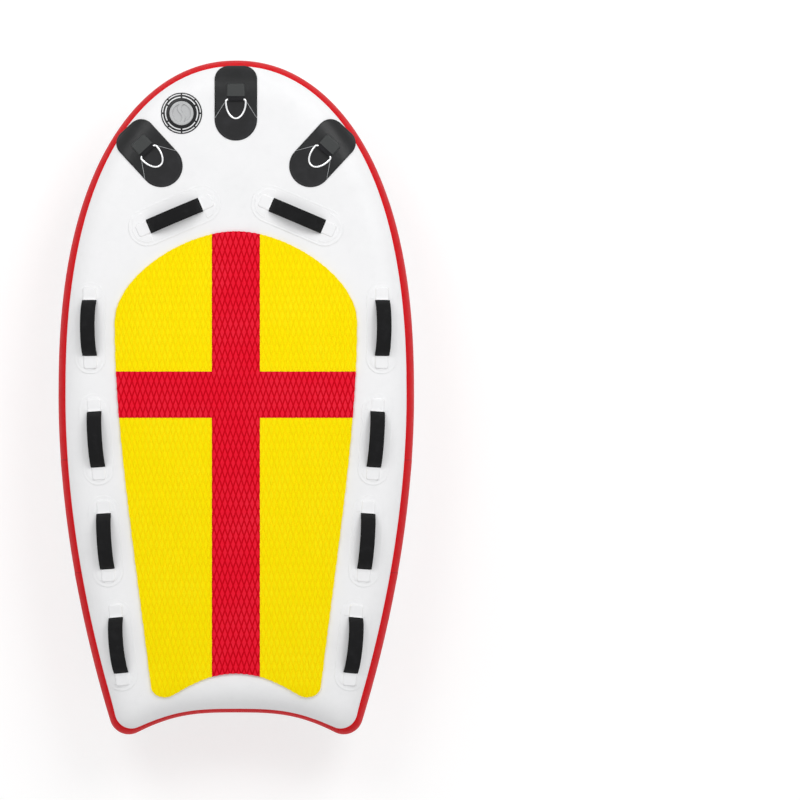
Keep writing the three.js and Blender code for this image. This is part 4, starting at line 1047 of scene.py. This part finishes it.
def foam_panel(name, outline, finish):
    """A foam panel: the moulded slab cut to its outline and laid on the deck. Its cut edge leans out by 0.65
    over its top 0.9, so that neighbouring panels lap by 1 there."""
    slab = bpy.data.meshes.new(name + "_slab")
    shell = diamond_slab(outline)
    slab.from_pydata((shell.points[0] * MM).tolist(), [], shell.faces[0].tolist())
    work = bmesh.new()
    work.from_mesh(slab)
    bmesh.ops.delete(work, geom=[v for v in work.verts if not v.link_faces], context="VERTS")
    work.to_mesh(slab)
    work.free()
    levels = ((PAD_LOW, 0.0), (PAD_HIGH - 0.9, 0.0), (PAD_HIGH - 0.4, 0.3), (PAD_HIGH + 0.4, 1.0))
    mesh = met(slab, block(outline, levels), "INTERSECT")
    points = mesh_points(mesh)
    lay = mesh.attributes.get("lay") or mesh.attributes.new("lay", "FLOAT_VECTOR", "POINT")
    lay.data.foreach_set("vector", ((points - (0, 0, PAD_LOW)) * MM).astype(np.float32).ravel())
    points[:, 2] += face_height(points[:, 0], points[:, 1]) - (HULL_BOTTOM + 2 * HALF_THICKNESS)
    mesh.vertices.foreach_set("co", (points * MM).astype(np.float32).ravel())
    mesh.materials.clear()
    panel = dress(mesh, name, "board", finish, [name])


cross_line, fore_line, aft_line = panel_outlines()
foam_panel("pad_cross", cross_line, RED_FOAM)
for side_name, sign in SIDES:
    foam_panel(f"pad_front_{side_name}", fore_line * (sign, 1), YELLOW_FOAM)
    foam_panel(f"pad_rear_{side_name}", aft_line * (sign, 1), YELLOW_FOAM)


# Carrying handles
STRAP_LINE = strap_path(101)
STRAP_SECTION = rounded_section(STRAP_HALF, STRAP_THICKNESS / 2, 6, 28)
SLEEVE_SECTION = rounded_section(SLEEVE_HALF + 0.8, SLEEVE_THICKNESS / 2, 4.2, 56)


def sleeve_line(count, half):
    """The part of the strap's line between the sleeve's ends, with closer points at both ends: its points,
    how far along each lies, and the whole length."""
    fine = strap_path(1201)
    fine = fine[np.abs(fine[:, 0]) <= half]
    run = np.concatenate([[0], np.cumsum(np.linalg.norm(np.diff(fine, axis=0), axis=1))])
    ends = np.array([0, 0.25, 0.8, 1.7, 2.9, 4.2, 5.2, 5.7, 6.3, 7.4, 9, 12])
    at = np.concatenate([ends, np.linspace(16, run[-1] - 16, count), run[-1] - ends[::-1]])
    return np.stack([np.interp(at, run, fine[:, k]) for k in (0, 1)], -1), at, run[-1]


def handle(name, place, patch_size, half_sleeve, lean, phase):
    """A carrying handle: its welded patch with two covers, the webbing strap, and the padded sleeve round
    it. The pockets' roofs follow the strap down. The sleeve's section narrows to its ends by power curves,
    dips at its hems, and waves with products of sines whose phase differs from handle to handle."""
    length, half = patch_size
    rigid = place.frame(STRAP_HALF, HANDLE_SPAN / 2)
    rise = strap_path(401)[::-1]
    above_strap = STRAP_THICKNESS / 2 + PATCH_SHEET
    roof = lambda along: np.maximum(POCKET_LOWEST, np.interp(along, *rise.T) + above_strap)
    patch = Shell()
    sheet(patch, place, *stadium(half, length), SEAT_GAP, PATCH_SHEET, weld=PATCH_WELD)
    cover_lift = SEAT_GAP + PATCH_SHEET - COVER_SINK
    for sign in (1, -1):
        outline, spine, centre = round_end(half - COVER_BORDER, HANDLE_SPAN / 2 + COVER_FROM_SPAN,
                                           length / 2 - COVER_BORDER, sign)
        sheet(patch, place, outline, spine, cover_lift, PATCH_SHEET, weld=PATCH_WELD, centre=centre)
        pocket(patch, place, rigid, sign, STRAP_HALF + 1, half_sleeve + 0.9, HANDLE_SPAN / 2 + TAB_REACH,
               POCKET_FOOT, roof, POCKET_SHEET)
    patch.piece(f"{name}_patch", "board", "white_pvc", HANDLE_PVC, [f"{name}_patch"])
    strap = Shell()
    sweep(strap, STRAP_LINE, STRAP_SECTION, rigid, lean)
    strap.piece(f"{name}_strap", "board", "webbing", WEBBING, [f"{name}_strap"])

    path, at, whole = sleeve_line(76, half_sleeve)
    end = np.minimum(at, whole - at)
    rounded = lambda reach, power: 1 - (1 - np.clip(end / reach, 0, 1)) ** power
    width = 1 - 0.05 * (1 - rounded(2.0, 3)) - 0.012 * np.exp(-((end - HEM) / 0.7) ** 2)
    thick = (0.42 + 0.58 * eased(end / 19)) * (0.3 + 0.7 * rounded(2.6, 2.5))
    thick -= 0.05 * np.exp(-((end - HEM) / 0.6) ** 2)
    thick *= 1 + 0.02 * np.sin(at / 11 + phase)
    sleeve = Shell()
    crumple = lambda across, along: (0.22 * np.sin(along / 8.5 + across / 14 + phase)
                                     * np.sin(along / 23 + 1.7 * phase))
    sweep(sleeve, path, SLEEVE_SECTION, rigid, lean, width, thick, crumple)
    lay = sleeve.lay[0].reshape(len(path) + 2, -1, 3)
    lay[..., 2] = np.concatenate([[0], end, [0]])[:, None]
    thing = sleeve.piece(f"{name}_sleeve", "board", "neoprene", NEOPRENE, [f"{name}_sleeve"])


for side_name, sign in SIDES:
    spot = Place(sign * FRONT_HANDLE_X, HALF_LENGTH - FRONT_HANDLE_BACK, -sign * FRONT_HANDLE_TURN)
    handle(f"handle_{side_name}_1", spot, FRONT_PATCH, FRONT_HALF_SLEEVE, 0.0, 0.3 + sign)
    for number, (along_share, out_share, turn) in enumerate(SIDE_HANDLES, 2):
        spot = Place(sign * out_share * HALF_WIDTH, HALF_LENGTH - along_share * BOARD_LENGTH, sign * turn)
        handle(f"handle_{side_name}_{number}", spot, SIDE_PATCH, SIDE_HALF_SLEEVE, sign * SIDE_LEAN,
               number * 1.9 + sign)


# Tow rings
def tow_end(half, reach):
    """The rail end of a tow patch, from its right side to its left: two rounded corners."""
    middle, centre = half - TOW_END_ROUND, reach - TOW_END_ROUND
    return np.concatenate([arc(middle, centre, TOW_END_ROUND, 0, QUARTER, 24),
                           arc(-middle, centre, TOW_END_ROUND, QUARTER, np.pi, 24)])


def vee_outline(reach):
    """The cover's outline: its rail end, and towards the pad a vee whose flat middle is cut back for the
    strap. Its spine is a smaller box, and its centre is that box's middle."""
    half, slot, cut = TOW_RADIUS - 1, TOW_STRAP_HALF + SEAT_GAP, TOW_BAR + 12
    vee = np.array([(-half, VEE_LEG), (-VEE_FLAT_HALF, VEE_FLAT), (-slot, VEE_FLAT), (-slot, cut)])
    line = np.concatenate([tow_end(half, reach - 1), vee, vee[::-1] * (-1, 1)])
    outline = resample(line, 176, closed=True)
    low, high, aside = 78, reach - 34, 44
    spine = np.column_stack([np.clip(outline[:, 0], -aside, aside), np.clip(outline[:, 1], low, high)])
    return outline, spine, np.array([0.0, (low + high) / 2])


def tow_loop():
    """The webbing's middle line: from the pocket along the patch, round the ring's bar and back on itself."""
    low, high, end = TOW_LIFT + TOW_STRAP_THICKNESS / 2, TOW_LIFT + 1.5 * TOW_STRAP_THICKNESS + 0.1, 40
    around = arc(0, BAR_HEIGHT, LOOP_RADIUS, -QUARTER, -2.85 * QUARTER, 40)
    back = bezier(around[-1], around[-1] + (5, 0.9), np.array([7, high + 0.6]), np.array([14, high]),
                  np.linspace(0, 1, 14))
    return np.concatenate([np.linspace((end, low), (2, low), 16), around, back[1:],
                           np.linspace((16, high), (end, high), 12)])


def d_ring(rigid):
    """A wire ring: a straight bar with rounded corners and a long half-round end, leaning down to the
    patch. Each point of the wire is its middle line's, plus the wire's radius times the cosine of an angle
    square to that line and times its sine upwards."""
    corner, half_turn = RING_HALF_WIDTH - RING_CORNER, np.linspace(0, np.pi, 60)
    round_end_line = np.column_stack([RING_HALF_WIDTH * np.cos(half_turn),
                                      -RING_CORNER - (RING_REACH - RING_CORNER) * np.sin(half_turn)])
    line = np.concatenate([arc(corner, -RING_CORNER, RING_CORNER, QUARTER, 0, 12)[:-1], round_end_line,
                           arc(-corner, -RING_CORNER, RING_CORNER, np.pi, QUARTER, 12)[1:]])
    line = resample(line, 132, closed=True)
    ahead = np.roll(line, -1, 0) - np.roll(line, 1, 0)
    ahead /= np.linalg.norm(ahead, axis=1, keepdims=True)
    around = np.linspace(0, TURN, 25)[:-1]
    out, up = RING_WIRE * np.cos(around), RING_WIRE * np.sin(around)
    points = np.stack([line[:, :1] - ahead[:, 1:] * out, line[:, 1:] + ahead[:, :1] * out,
                       np.broadcast_to(up, (len(line), len(up)))], -1)
    tilt = math.asin((BAR_HEIGHT - (TOW_LIFT + RING_WIRE)) / RING_REACH)
    turn = np.array([[1, 0, 0], [0, math.cos(tilt), math.sin(tilt)], [0, -math.sin(tilt), math.cos(tilt)]])
    points = points @ turn + (0, 0, BAR_HEIGHT)
    return Shell().grid(placed(points, rigid), row_loop=True, column_loop=True)


def tow_ring(name, place, reach):
    """A tow ring: its base patch, the cover with a pocket for the webbing, the webbing loop and the ring."""
    base = Shell()
    line = np.concatenate([tow_end(TOW_RADIUS, reach), arc(0, 0, TOW_RADIUS, np.pi, TURN, 60)])
    outline = resample(line, 160, closed=True)
    spine = np.column_stack([np.zeros(len(outline)), np.clip(outline[:, 1], 0, reach - TOW_RADIUS)])
    sheet(base, place, outline, spine, SEAT_GAP, TOW_SHEET)
    base.piece(f"{name}_patch", "board", "black_pvc", BLACK_PVC, [f"{name}_patch"])

    cover = Shell()
    outline, spine, centre = vee_outline(reach)
    sheet(cover, place, outline, spine, TOW_LIFT, TOW_SHEET, centre=centre)
    spot = Place(*place.plan(0, TOW_BAR), math.degrees(place.heading))
    rigid = spot.frame(RING_HALF_WIDTH, RING_HALF_WIDTH)
    pocket(cover, spot, rigid, 1, TOW_STRAP_HALF + 0.8, 9.5, 41, TOW_LIFT - 0.4,
           lambda along: np.full_like(along, TOW_ROOF), 1.3)
    cover.piece(f"{name}_cover", "board", "black_pvc", COVER_PVC, [f"{name}_cover"])
    strap = Shell()
    sweep(strap, tow_loop(), rounded_section(TOW_STRAP_HALF, TOW_STRAP_THICKNESS / 2, 6, 32), rigid)
    strap.piece(f"{name}_strap", "board", "webbing", WEBBING, [f"{name}_strap"])
    d_ring(rigid).piece(f"{name}_ring", f"{name}_ring", "steel", STEEL, [f"{name}_ring"])


for tow_side, sign, tow_spot in (("centre", 1, CENTRE_TOW), ("left", -1, SIDE_TOW), ("right", 1, SIDE_TOW)):
    aside, back, turn, reach = tow_spot
    tow_ring(f"tow_{tow_side}", Place(sign * aside, HALF_LENGTH - back, sign * turn), reach)


# Inflation valve
VALVE_AT = np.array([VALVE_X, VALVE_Y, valve_high])


def turned(shell, profile, at=VALVE_AT, count=96, loop=False):
    """A profile of radius and height turned round the valve's axis. A radius of 0 closes on the axis."""
    profile = np.asarray(profile, float)
    angle = np.linspace(0, TURN, count, endpoint=False)
    points = np.stack([profile[:, :1] * np.cos(angle), profile[:, :1] * np.sin(angle),
                       np.broadcast_to(profile[:, 1:], (len(profile), count))], -1)
    lay = np.stack([points[..., 0], points[..., 1], np.broadcast_to(profile[:, :1], points.shape[:2])], -1)
    shell.grid(points + at, row_loop=loop, column_loop=True, lay=lay)


def softened(profile, radius, steps=4, loop=False):
    """A profile with each corner cut to a small arc, whose ends lie a radius or less from the corner."""
    profile = np.asarray(profile, float)
    before, after = np.roll(profile, 1, 0) - profile, np.roll(profile, -1, 0) - profile
    reach = np.minimum(np.linalg.norm(before, axis=1), np.linalg.norm(after, axis=1)) * 0.45
    reach = np.minimum(reach, radius)[:, None]
    if not loop:
        before[0], after[-1], reach[0], reach[-1] = (1, 0), (1, 0), 1e-6, 1e-6
    first = profile + before / np.linalg.norm(before, axis=1, keepdims=True) * reach
    last = profile + after / np.linalg.norm(after, axis=1, keepdims=True) * reach
    t = np.linspace(0, 1, steps)[None, :, None]
    rounded = (1 - t) ** 2 * first[:, None] + 2 * (1 - t) * t * profile[:, None] + t ** 2 * last[:, None]
    return rounded.reshape(-1, 2)


def bar_block(shell, rigid, half, along, levels):
    """A bar with rounded long edges: a superellipse section carried along a straight line."""
    section = rounded_section(half, (levels[1] - levels[0]) / 2, 8, 24)
    line = np.column_stack([np.linspace(*along, 12), np.full(12, sum(levels) / 2)])
    sweep(shell, line, section, rigid)


valve_place = Place(VALVE_X, VALVE_Y)
patch = Shell()
radii = np.array([22.4, 22.4, 22.9, 26, 31, 36, 40, 42, 43, 44, 45, 46, 47, 48, 49.5, 51, 51.7, 52.6, 53.6,
                  55, 56.4, 57.1, 57.5, 57.9, 58, 57.9, 50, 40, 30])[:, None]
lifts = np.array([0.1, 1.2] + [VALVE_SHEET] * 19 + [1.42, 1.3, 1.0, 0.7, 0.1, 0, 0, 0])[:, None]
angle = np.linspace(0, TURN, 144, endpoint=False)
ring_x, ring_y, wide = radii * np.cos(angle), radii * np.sin(angle), radii + 0 * angle
patch.grid(valve_place.on_hull(ring_x, ring_y, SEAT_GAP + lifts + 0 * angle), row_loop=True, column_loop=True,
           lay=np.stack([ring_x, ring_y, wide], -1))
patch.piece("valve_patch", "board", "black_pvc", RINGED_PVC, ["valve_patch"])

body = Shell()
wall = [(22, -36), (22, -6), (36, -6), (36, FLANGE_RISE - 0.6), (34.6, FLANGE_RISE), (THROAT, FLANGE_RISE),
        (THROAT, -24), (12, -24), (12, -27), (THROAT, -27), (THROAT, -36)]
turned(body, softened(wall, 0.5, loop=True), loop=True)
hub = [(5.5, SPIDER_LOW), (5.5, SPIDER_HIGH), (3, SPIDER_HIGH), (3, SPIDER_LOW)]
turned(body, softened(hub, 0.3, loop=True), loop=True)
for k in range(3):
    turn = TURN * k / 3
    axes = np.array([[math.cos(turn), math.sin(turn), 0], [-math.sin(turn), math.cos(turn), 0], [0, 0, 1]])
    bar_block(body, (VALVE_AT, axes), 1.5, (4.4, 19), (SPIDER_LOW, SPIDER_HIGH))
body.piece("valve_body", "board", "valve_black", VALVE_BLACK, ["valve_body"])

poppet = Shell()
stem = [(0, -30.3), (14.5, -30.3), (14.5, -27.3), (2.6, -27.3), (2.6, -3), (7, -3), (7, 0), (0, 0)]
turned(poppet, softened(stem, 0.5))
poppet.piece("valve_poppet", "valve_poppet", "valve_grey", VALVE_GREY, ["valve_poppet"])


def valve_spring():
    """The return spring: a helix of 4 turns, with a round wire of 8 sides square to it, and closed ends."""
    share = np.linspace(0, 1, SPRING_TURNS * 36 + 1)
    angle = SPRING_TURNS * TURN * share
    coil = np.stack([SPRING_RADIUS * np.cos(angle), SPRING_RADIUS * np.sin(angle),
                     SPRING_LOW + SPRING_LENGTH * share], -1)
    forward = np.gradient(coil, axis=0)
    forward /= np.linalg.norm(forward, axis=1, keepdims=True)
    outward = np.stack([np.cos(angle), np.sin(angle), 0 * share], -1)
    around = np.linspace(0, TURN, 9)[:-1, None]
    wire = np.cos(around) * outward[:, None] + np.sin(around) * np.cross(outward, forward)[:, None]
    wire = coil[:, None] + SPRING_WIRE * wire
    ends = [np.broadcast_to(coil[k], wire[:1].shape) for k in (0, -1)]
    return Shell().grid(np.concatenate([ends[0], wire, ends[1]]) + VALVE_AT, column_loop=True)


spring = valve_spring().piece("valve_spring", "board", "steel", STEEL, ["valve_spring"])
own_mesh(spring)


def valve_cap():
    """The screw cap. Its top is a polar grid of heights: a rim, and a grip whose two hollows lie on either
    side of a bar that bends like an S, by a sine of Y. Its side has shallow flutes, by a cosine of 48 times
    the angle, and a skirt goes down into the valve."""
    rings = [28.2, 29, 30.2, 31.4, 32.3, 33, 33.5, 33.8, CAP_RADIUS]
    rings = np.concatenate([np.linspace(0, 27.5, 56), rings])
    angle = np.linspace(0, TURN, 6 * CAP_FLUTES, endpoint=False)
    r, a = np.meshgrid(rings, angle, indexing="ij")
    x, y = r * np.cos(a), r * np.sin(a)
    bend = -GRIP_BEND * np.sin(np.pi * y / 26)
    hollow = eased((GRIP_RADIUS - r) / 2.2) * eased((np.abs(x - bend) - GRIP_HALF_BAR) / 2.4)
    rim = 1.9 * np.clip((r - 31.4) / 2.6, 0, 1) ** 2.4
    z = CAP_HIGH - GRIP_DEPTH * hollow - rim - 0.35 * eased((27 - r) / 2) * (1 - hollow)
    flute = FLUTE_DEPTH * (0.5 - 0.5 * np.cos(a * CAP_FLUTES)) * eased((r - 32.3) / 1.6)
    top = np.stack([x * (1 - flute / np.maximum(r, 1)), y * (1 - flute / np.maximum(r, 1)), z], -1)
    fluted = [(11.6, CAP_RADIUS, 1), (9, CAP_RADIUS, 1), (7.2, CAP_RADIUS, 0.8), (6.6, 33.7, 0.4)]
    plain = [(6.3, 33.2), (6.3, 17.1), (-0.6, 17.1), (-1.0, 16.7), (-1.0, 14.9), (-0.6, 14.5), (6.3, 14.5),
             (6.3, 7), (6.3, 0)]
    side = []
    for high, radius, share in fluted + [(*point, 0) for point in plain]:
        out = radius - FLUTE_DEPTH * share * (0.5 - 0.5 * np.cos(angle * CAP_FLUTES))
        side.append(np.stack([out * np.cos(angle), out * np.sin(angle), np.full_like(angle, high)], -1))
    return Shell().grid(np.concatenate([top, np.stack(side)]) + VALVE_AT, column_loop=True)


valve_cap().piece("valve_cap", "valve_cap", "valve_grey", VALVE_GREY, ["valve_cap"])


# Fins
def corner_arcs(half, front, rear, radius, count):
    """A rectangle with round corners: its four arcs, one after another."""
    corners = ((1, front - radius), (-1, front - radius), (-1, rear + radius), (1, rear + radius))
    return np.concatenate([arc(right * (half - radius), y, radius, k * QUARTER, (k + 1) * QUARTER, count)
                           for k, (right, y) in enumerate(corners)])


def fin_blade(x):
    """A swept blade: from root to tip, a lens section runs from the front curve to the rear curve. Its top
    is flat where it meets the neck, and its tip is drawn in to a rounded end, by the square root of 1 less
    the square of the share of the last 0.035."""
    share = 1 - (1 - np.linspace(0, 1, 56)) ** 1.35
    curve = lambda table: bezier(*[np.array((FIN_START - back * FIN_LENGTH, FIN_DEPTH * (1 - down)))
                                   for back, down in table], share)
    front, rear = curve(FIN_FRONT), curve(FIN_REAR)
    shape = hermite(np.array(FIN_HALVES), 26)
    chord = np.concatenate([shape[:, 0], shape[-2:0:-1, 0]])
    thick = np.concatenate([shape[:, 1], -shape[-2:0:-1, 1]])
    tip = np.sqrt(np.clip(1 - (np.clip(share[:, None] - 0.965, 0, 1) / 0.0355) ** 2, 0, 1))
    half = (FIN_ROOT_THICKNESS + (FIN_TIP_THICKNESS - FIN_ROOT_THICKNESS) * share[:, None]) / 2 * tip
    place = front[:, None] + (rear - front)[:, None] * (0.5 + (chord[None, :] - 0.5) * tip)[..., None]
    points = np.stack([x + half * thick, place[..., 0], np.minimum(place[..., 1], BLADE_TOP)], -1)
    middle = [np.broadcast_to(points[k].mean(0), (1, *points.shape[1:])) for k in (0, -1)]
    return np.concatenate([middle[0], points, middle[1]])


def edge_box(half, rear, front, low, high, radius, bevel, x):
    """A flat box with rounded upright corners and bevelled edges: a rounded outline drawn in towards its
    centre near its two faces, and all the way on them."""
    line = corner_arcs(half, front, rear, radius, 9)
    centre = np.array([0, (front + rear) / 2])
    away = line - centre
    size = np.linalg.norm(away, axis=1, keepdims=True)
    levels = ((low, 99), (low, bevel * 1.5), (low + bevel * 0.3, bevel * 0.4), (low + bevel, 0),
              (high - bevel, 0), (high - bevel * 0.3, bevel * 0.4), (high, bevel * 1.5), (high, 99))
    plans = [centre + away * np.clip(1 - inward / size, 0, 1) + (x, 0) for _, inward in levels]
    return np.stack([np.column_stack([plan, np.full(len(plan), z)]) for plan, (z, _) in zip(plans, levels)])


def fin_box(side_name, x):
    """The plate welded on the bottom, and the channel that a fin's tongue slides into from its rear: a
    section with a slot and a groove, carried along Y, drawn in at its rear end and closed at its front by a
    stop."""
    shell = Shell()
    line = corner_arcs(PLATE_HALF_WIDTH, PLATE_HALF_LENGTH, -PLATE_HALF_LENGTH, PLATE_CORNER, 16)
    outline = resample(line, 144, closed=True)
    spine = np.column_stack([np.zeros(len(outline)), np.clip(outline[:, 1], -53, 53)])
    sheet(shell, Place(x, PLATE_FRONT - PLATE_HALF_LENGTH, 0, -1), outline, spine, SEAT_GAP, 2.2)
    slot, groove, roof, lip = 4.3, TONGUE_HALF + 0.3, TONGUE_HIGH + 0.3, 88.1
    profile = np.array([(-BOX_HALF, BOX_HIGH), (-BOX_HALF, BOX_LOW), (-slot, BOX_LOW), (-slot, lip),
                        (-groove, lip), (-groove, roof)])
    profile = softened(np.concatenate([profile, profile[::-1] * (-1, 1)]), 1.1, 5, loop=True)
    y = np.concatenate([[BOX_REAR, BOX_REAR + 0.2, BOX_REAR + 0.8], np.linspace(BOX_REAR + 2, FIN_START, 24)])
    drawn_in = np.concatenate([[0.5, 0.25, 0.06], np.zeros(24)])[:, None, None]
    drawn = profile + (np.array([0, 89.7]) - profile) * (drawn_in / 14)
    y = np.broadcast_to(y[:, None], drawn.shape[:2])
    shell.grid(np.stack([x + drawn[..., 0], y, drawn[..., 1]], -1), column_loop=True)
    shell.grid(edge_box(BOX_HALF, BOX_STOP, BOX_FRONT, BOX_LOW, BOX_HIGH, 5.9, 1.1, x), column_loop=True)
    shell.piece(f"fin_box_{side_name}", "board", "black_pvc", BLACK_PVC, [f"fin_box_{side_name}"], fill=True)


def fin(side_name, x):
    """A fin: its swept blade, and above it a narrow neck and a flat tongue."""
    shell = Shell()
    shell.grid(fin_blade(x), column_loop=True)
    rear = TONGUE_FRONT - TONGUE_LENGTH
    shell.grid(edge_box(TONGUE_HALF, rear, TONGUE_FRONT, TONGUE_LOW, TONGUE_HIGH, 2.5, 0.4, x),
               column_loop=True)
    shell.grid(edge_box(4, rear + 10, TONGUE_FRONT - 10, BLADE_TOP - 0.6, TONGUE_LOW + 0.3, 2.0, 0.3, x),
               column_loop=True)
    shell.piece(f"fin_{side_name}", f"fin_{side_name}", "fin_black", FIN_BLACK, [f"fin_{side_name}"])


for side_name, sign in SIDES:
    fin_box(side_name, sign * FIN_X)
    fin(side_name, sign * FIN_X)


# Floor, lamps and background. The floor's glow brings what the eye sees of it up to white, less where the
# lamps already light it. The glow under the board stands in for light that a pale floor throws back at the
# bottom.
FLOOR_HALF = 30
GLOW, GLOW_DIP, DIP_SPREAD = 0.735, 0.185, 0.05
BOUNCE, BOUNCE_ACROSS, BOUNCE_ALONG = 0.3, 3.0, 0.9
SKY_LIGHT = 0.55
floor_mesh = bpy.data.meshes.new("floor")
floor_corners = [(x * FLOOR_HALF, y * FLOOR_HALF, 0) for x, y in ((-1, -1), (1, -1), (1, 1), (-1, 1))]
floor_mesh.from_pydata(floor_corners, [], [(0, 1, 2, 3)])
floor = bpy.data.objects.new("floor", floor_mesh)
bpy.context.scene.collection.objects.link(floor)
floor_look = Look("floor", Specular_IOR_Level=0.0, Roughness=0.9)


def eye_rays(look):
    """1 for what the camera sees, by itself, in a reflection or through a thing, and 0 for the light that
    falls on things."""
    paths = look.tree.nodes.new("ShaderNodeLightPath")
    direct, mirrored, through = (Wire(look, paths.outputs[output]) for output in
                                 ("Is Camera Ray", "Is Glossy Ray", "Is Transmission Ray"))
    return direct.math("MAXIMUM", mirrored).math("MAXIMUM", through)


shown = eye_rays(floor_look)
floor_colour = floor_look.blend(shown, (0.9, 0.9, 0.9, 1), (0.5, 0.5, 0.5, 1))
floor_look.put(floor_look.shader.inputs["Base Color"], floor_colour)
floor_x, floor_y, _ = floor_look.split(floor_look.place())
spread = (floor_x * floor_x + floor_y * floor_y) * DIP_SPREAD + 1
level = GLOW - spread.math("POWER", -2.0) * GLOW_DIP
beneath = floor_x * floor_x * BOUNCE_ACROSS + floor_y * floor_y * BOUNCE_ALONG + 1
beneath = beneath.math("POWER", -2.0) * BOUNCE
strength = shown * level + (1 - shown) * beneath
glow = floor_look.node("ShaderNodeEmission", {}, {"Color": (1, 1, 1, 1), "Strength": strength}, "Emission")
lit = floor_look.node("ShaderNodeAddShader", {}, {0: Wire(floor_look, floor_look.shader.outputs[0]), 1: glow})
underneath = floor_look.node("ShaderNodeNewGeometry", {}, {}, "Backfacing") * shown
clear = floor_look.node("ShaderNodeBsdfTransparent", {}, {})
floor_look.put(floor_look.tree.nodes["Material Output"].inputs["Surface"],
               floor_look.node("ShaderNodeMixShader", {}, {0: underneath, 1: lit, 2: clear}))
floor_mesh.materials.append(floor_look.material)


class Sky(Look):
    """The studio round the object: soft light, and plain white where it is seen."""

    def __init__(self, level):
        world = bpy.data.worlds.new("studio")
        world.use_nodes = True
        bpy.context.scene.world = world
        self.tree = world.node_tree
        background = self.tree.nodes["Background"]
        background.inputs["Color"].default_value = (1, 1, 1, 1)
        self.put(background.inputs["Strength"], eye_rays(self) * (1 - level) + level)


Sky(SKY_LIGHT)


def lamp(name, azimuth, elevation, distance, size, power):
    """A soft square lamp that faces the board's middle."""
    data = bpy.data.lights.new(name, "AREA")
    data.shape, data.size, data.energy = "SQUARE", size, power
    thing = bpy.data.objects.new(name, data)
    bpy.context.scene.collection.objects.link(thing)
    a, e = math.radians(azimuth), math.radians(elevation)
    toward = np.array([math.cos(a) * math.cos(e), math.sin(a) * math.cos(e), math.sin(e)])
    thing.location = toward * distance + (0, 0, 0.2)
    thing.rotation_euler = (QUARTER - e, 0, a + QUARTER)
    thing.visible_camera = False


lamp("lamp_left", azimuth=128, elevation=50, distance=6.0, size=2.6, power=78)
lamp("lamp_right", azimuth=48, elevation=50, distance=6.0, size=2.6, power=104)
lamp("lamp_tail", azimuth=275, elevation=55, distance=7.0, size=3.0, power=26)

bpy.context.scene.view_settings.view_transform = "Standard"
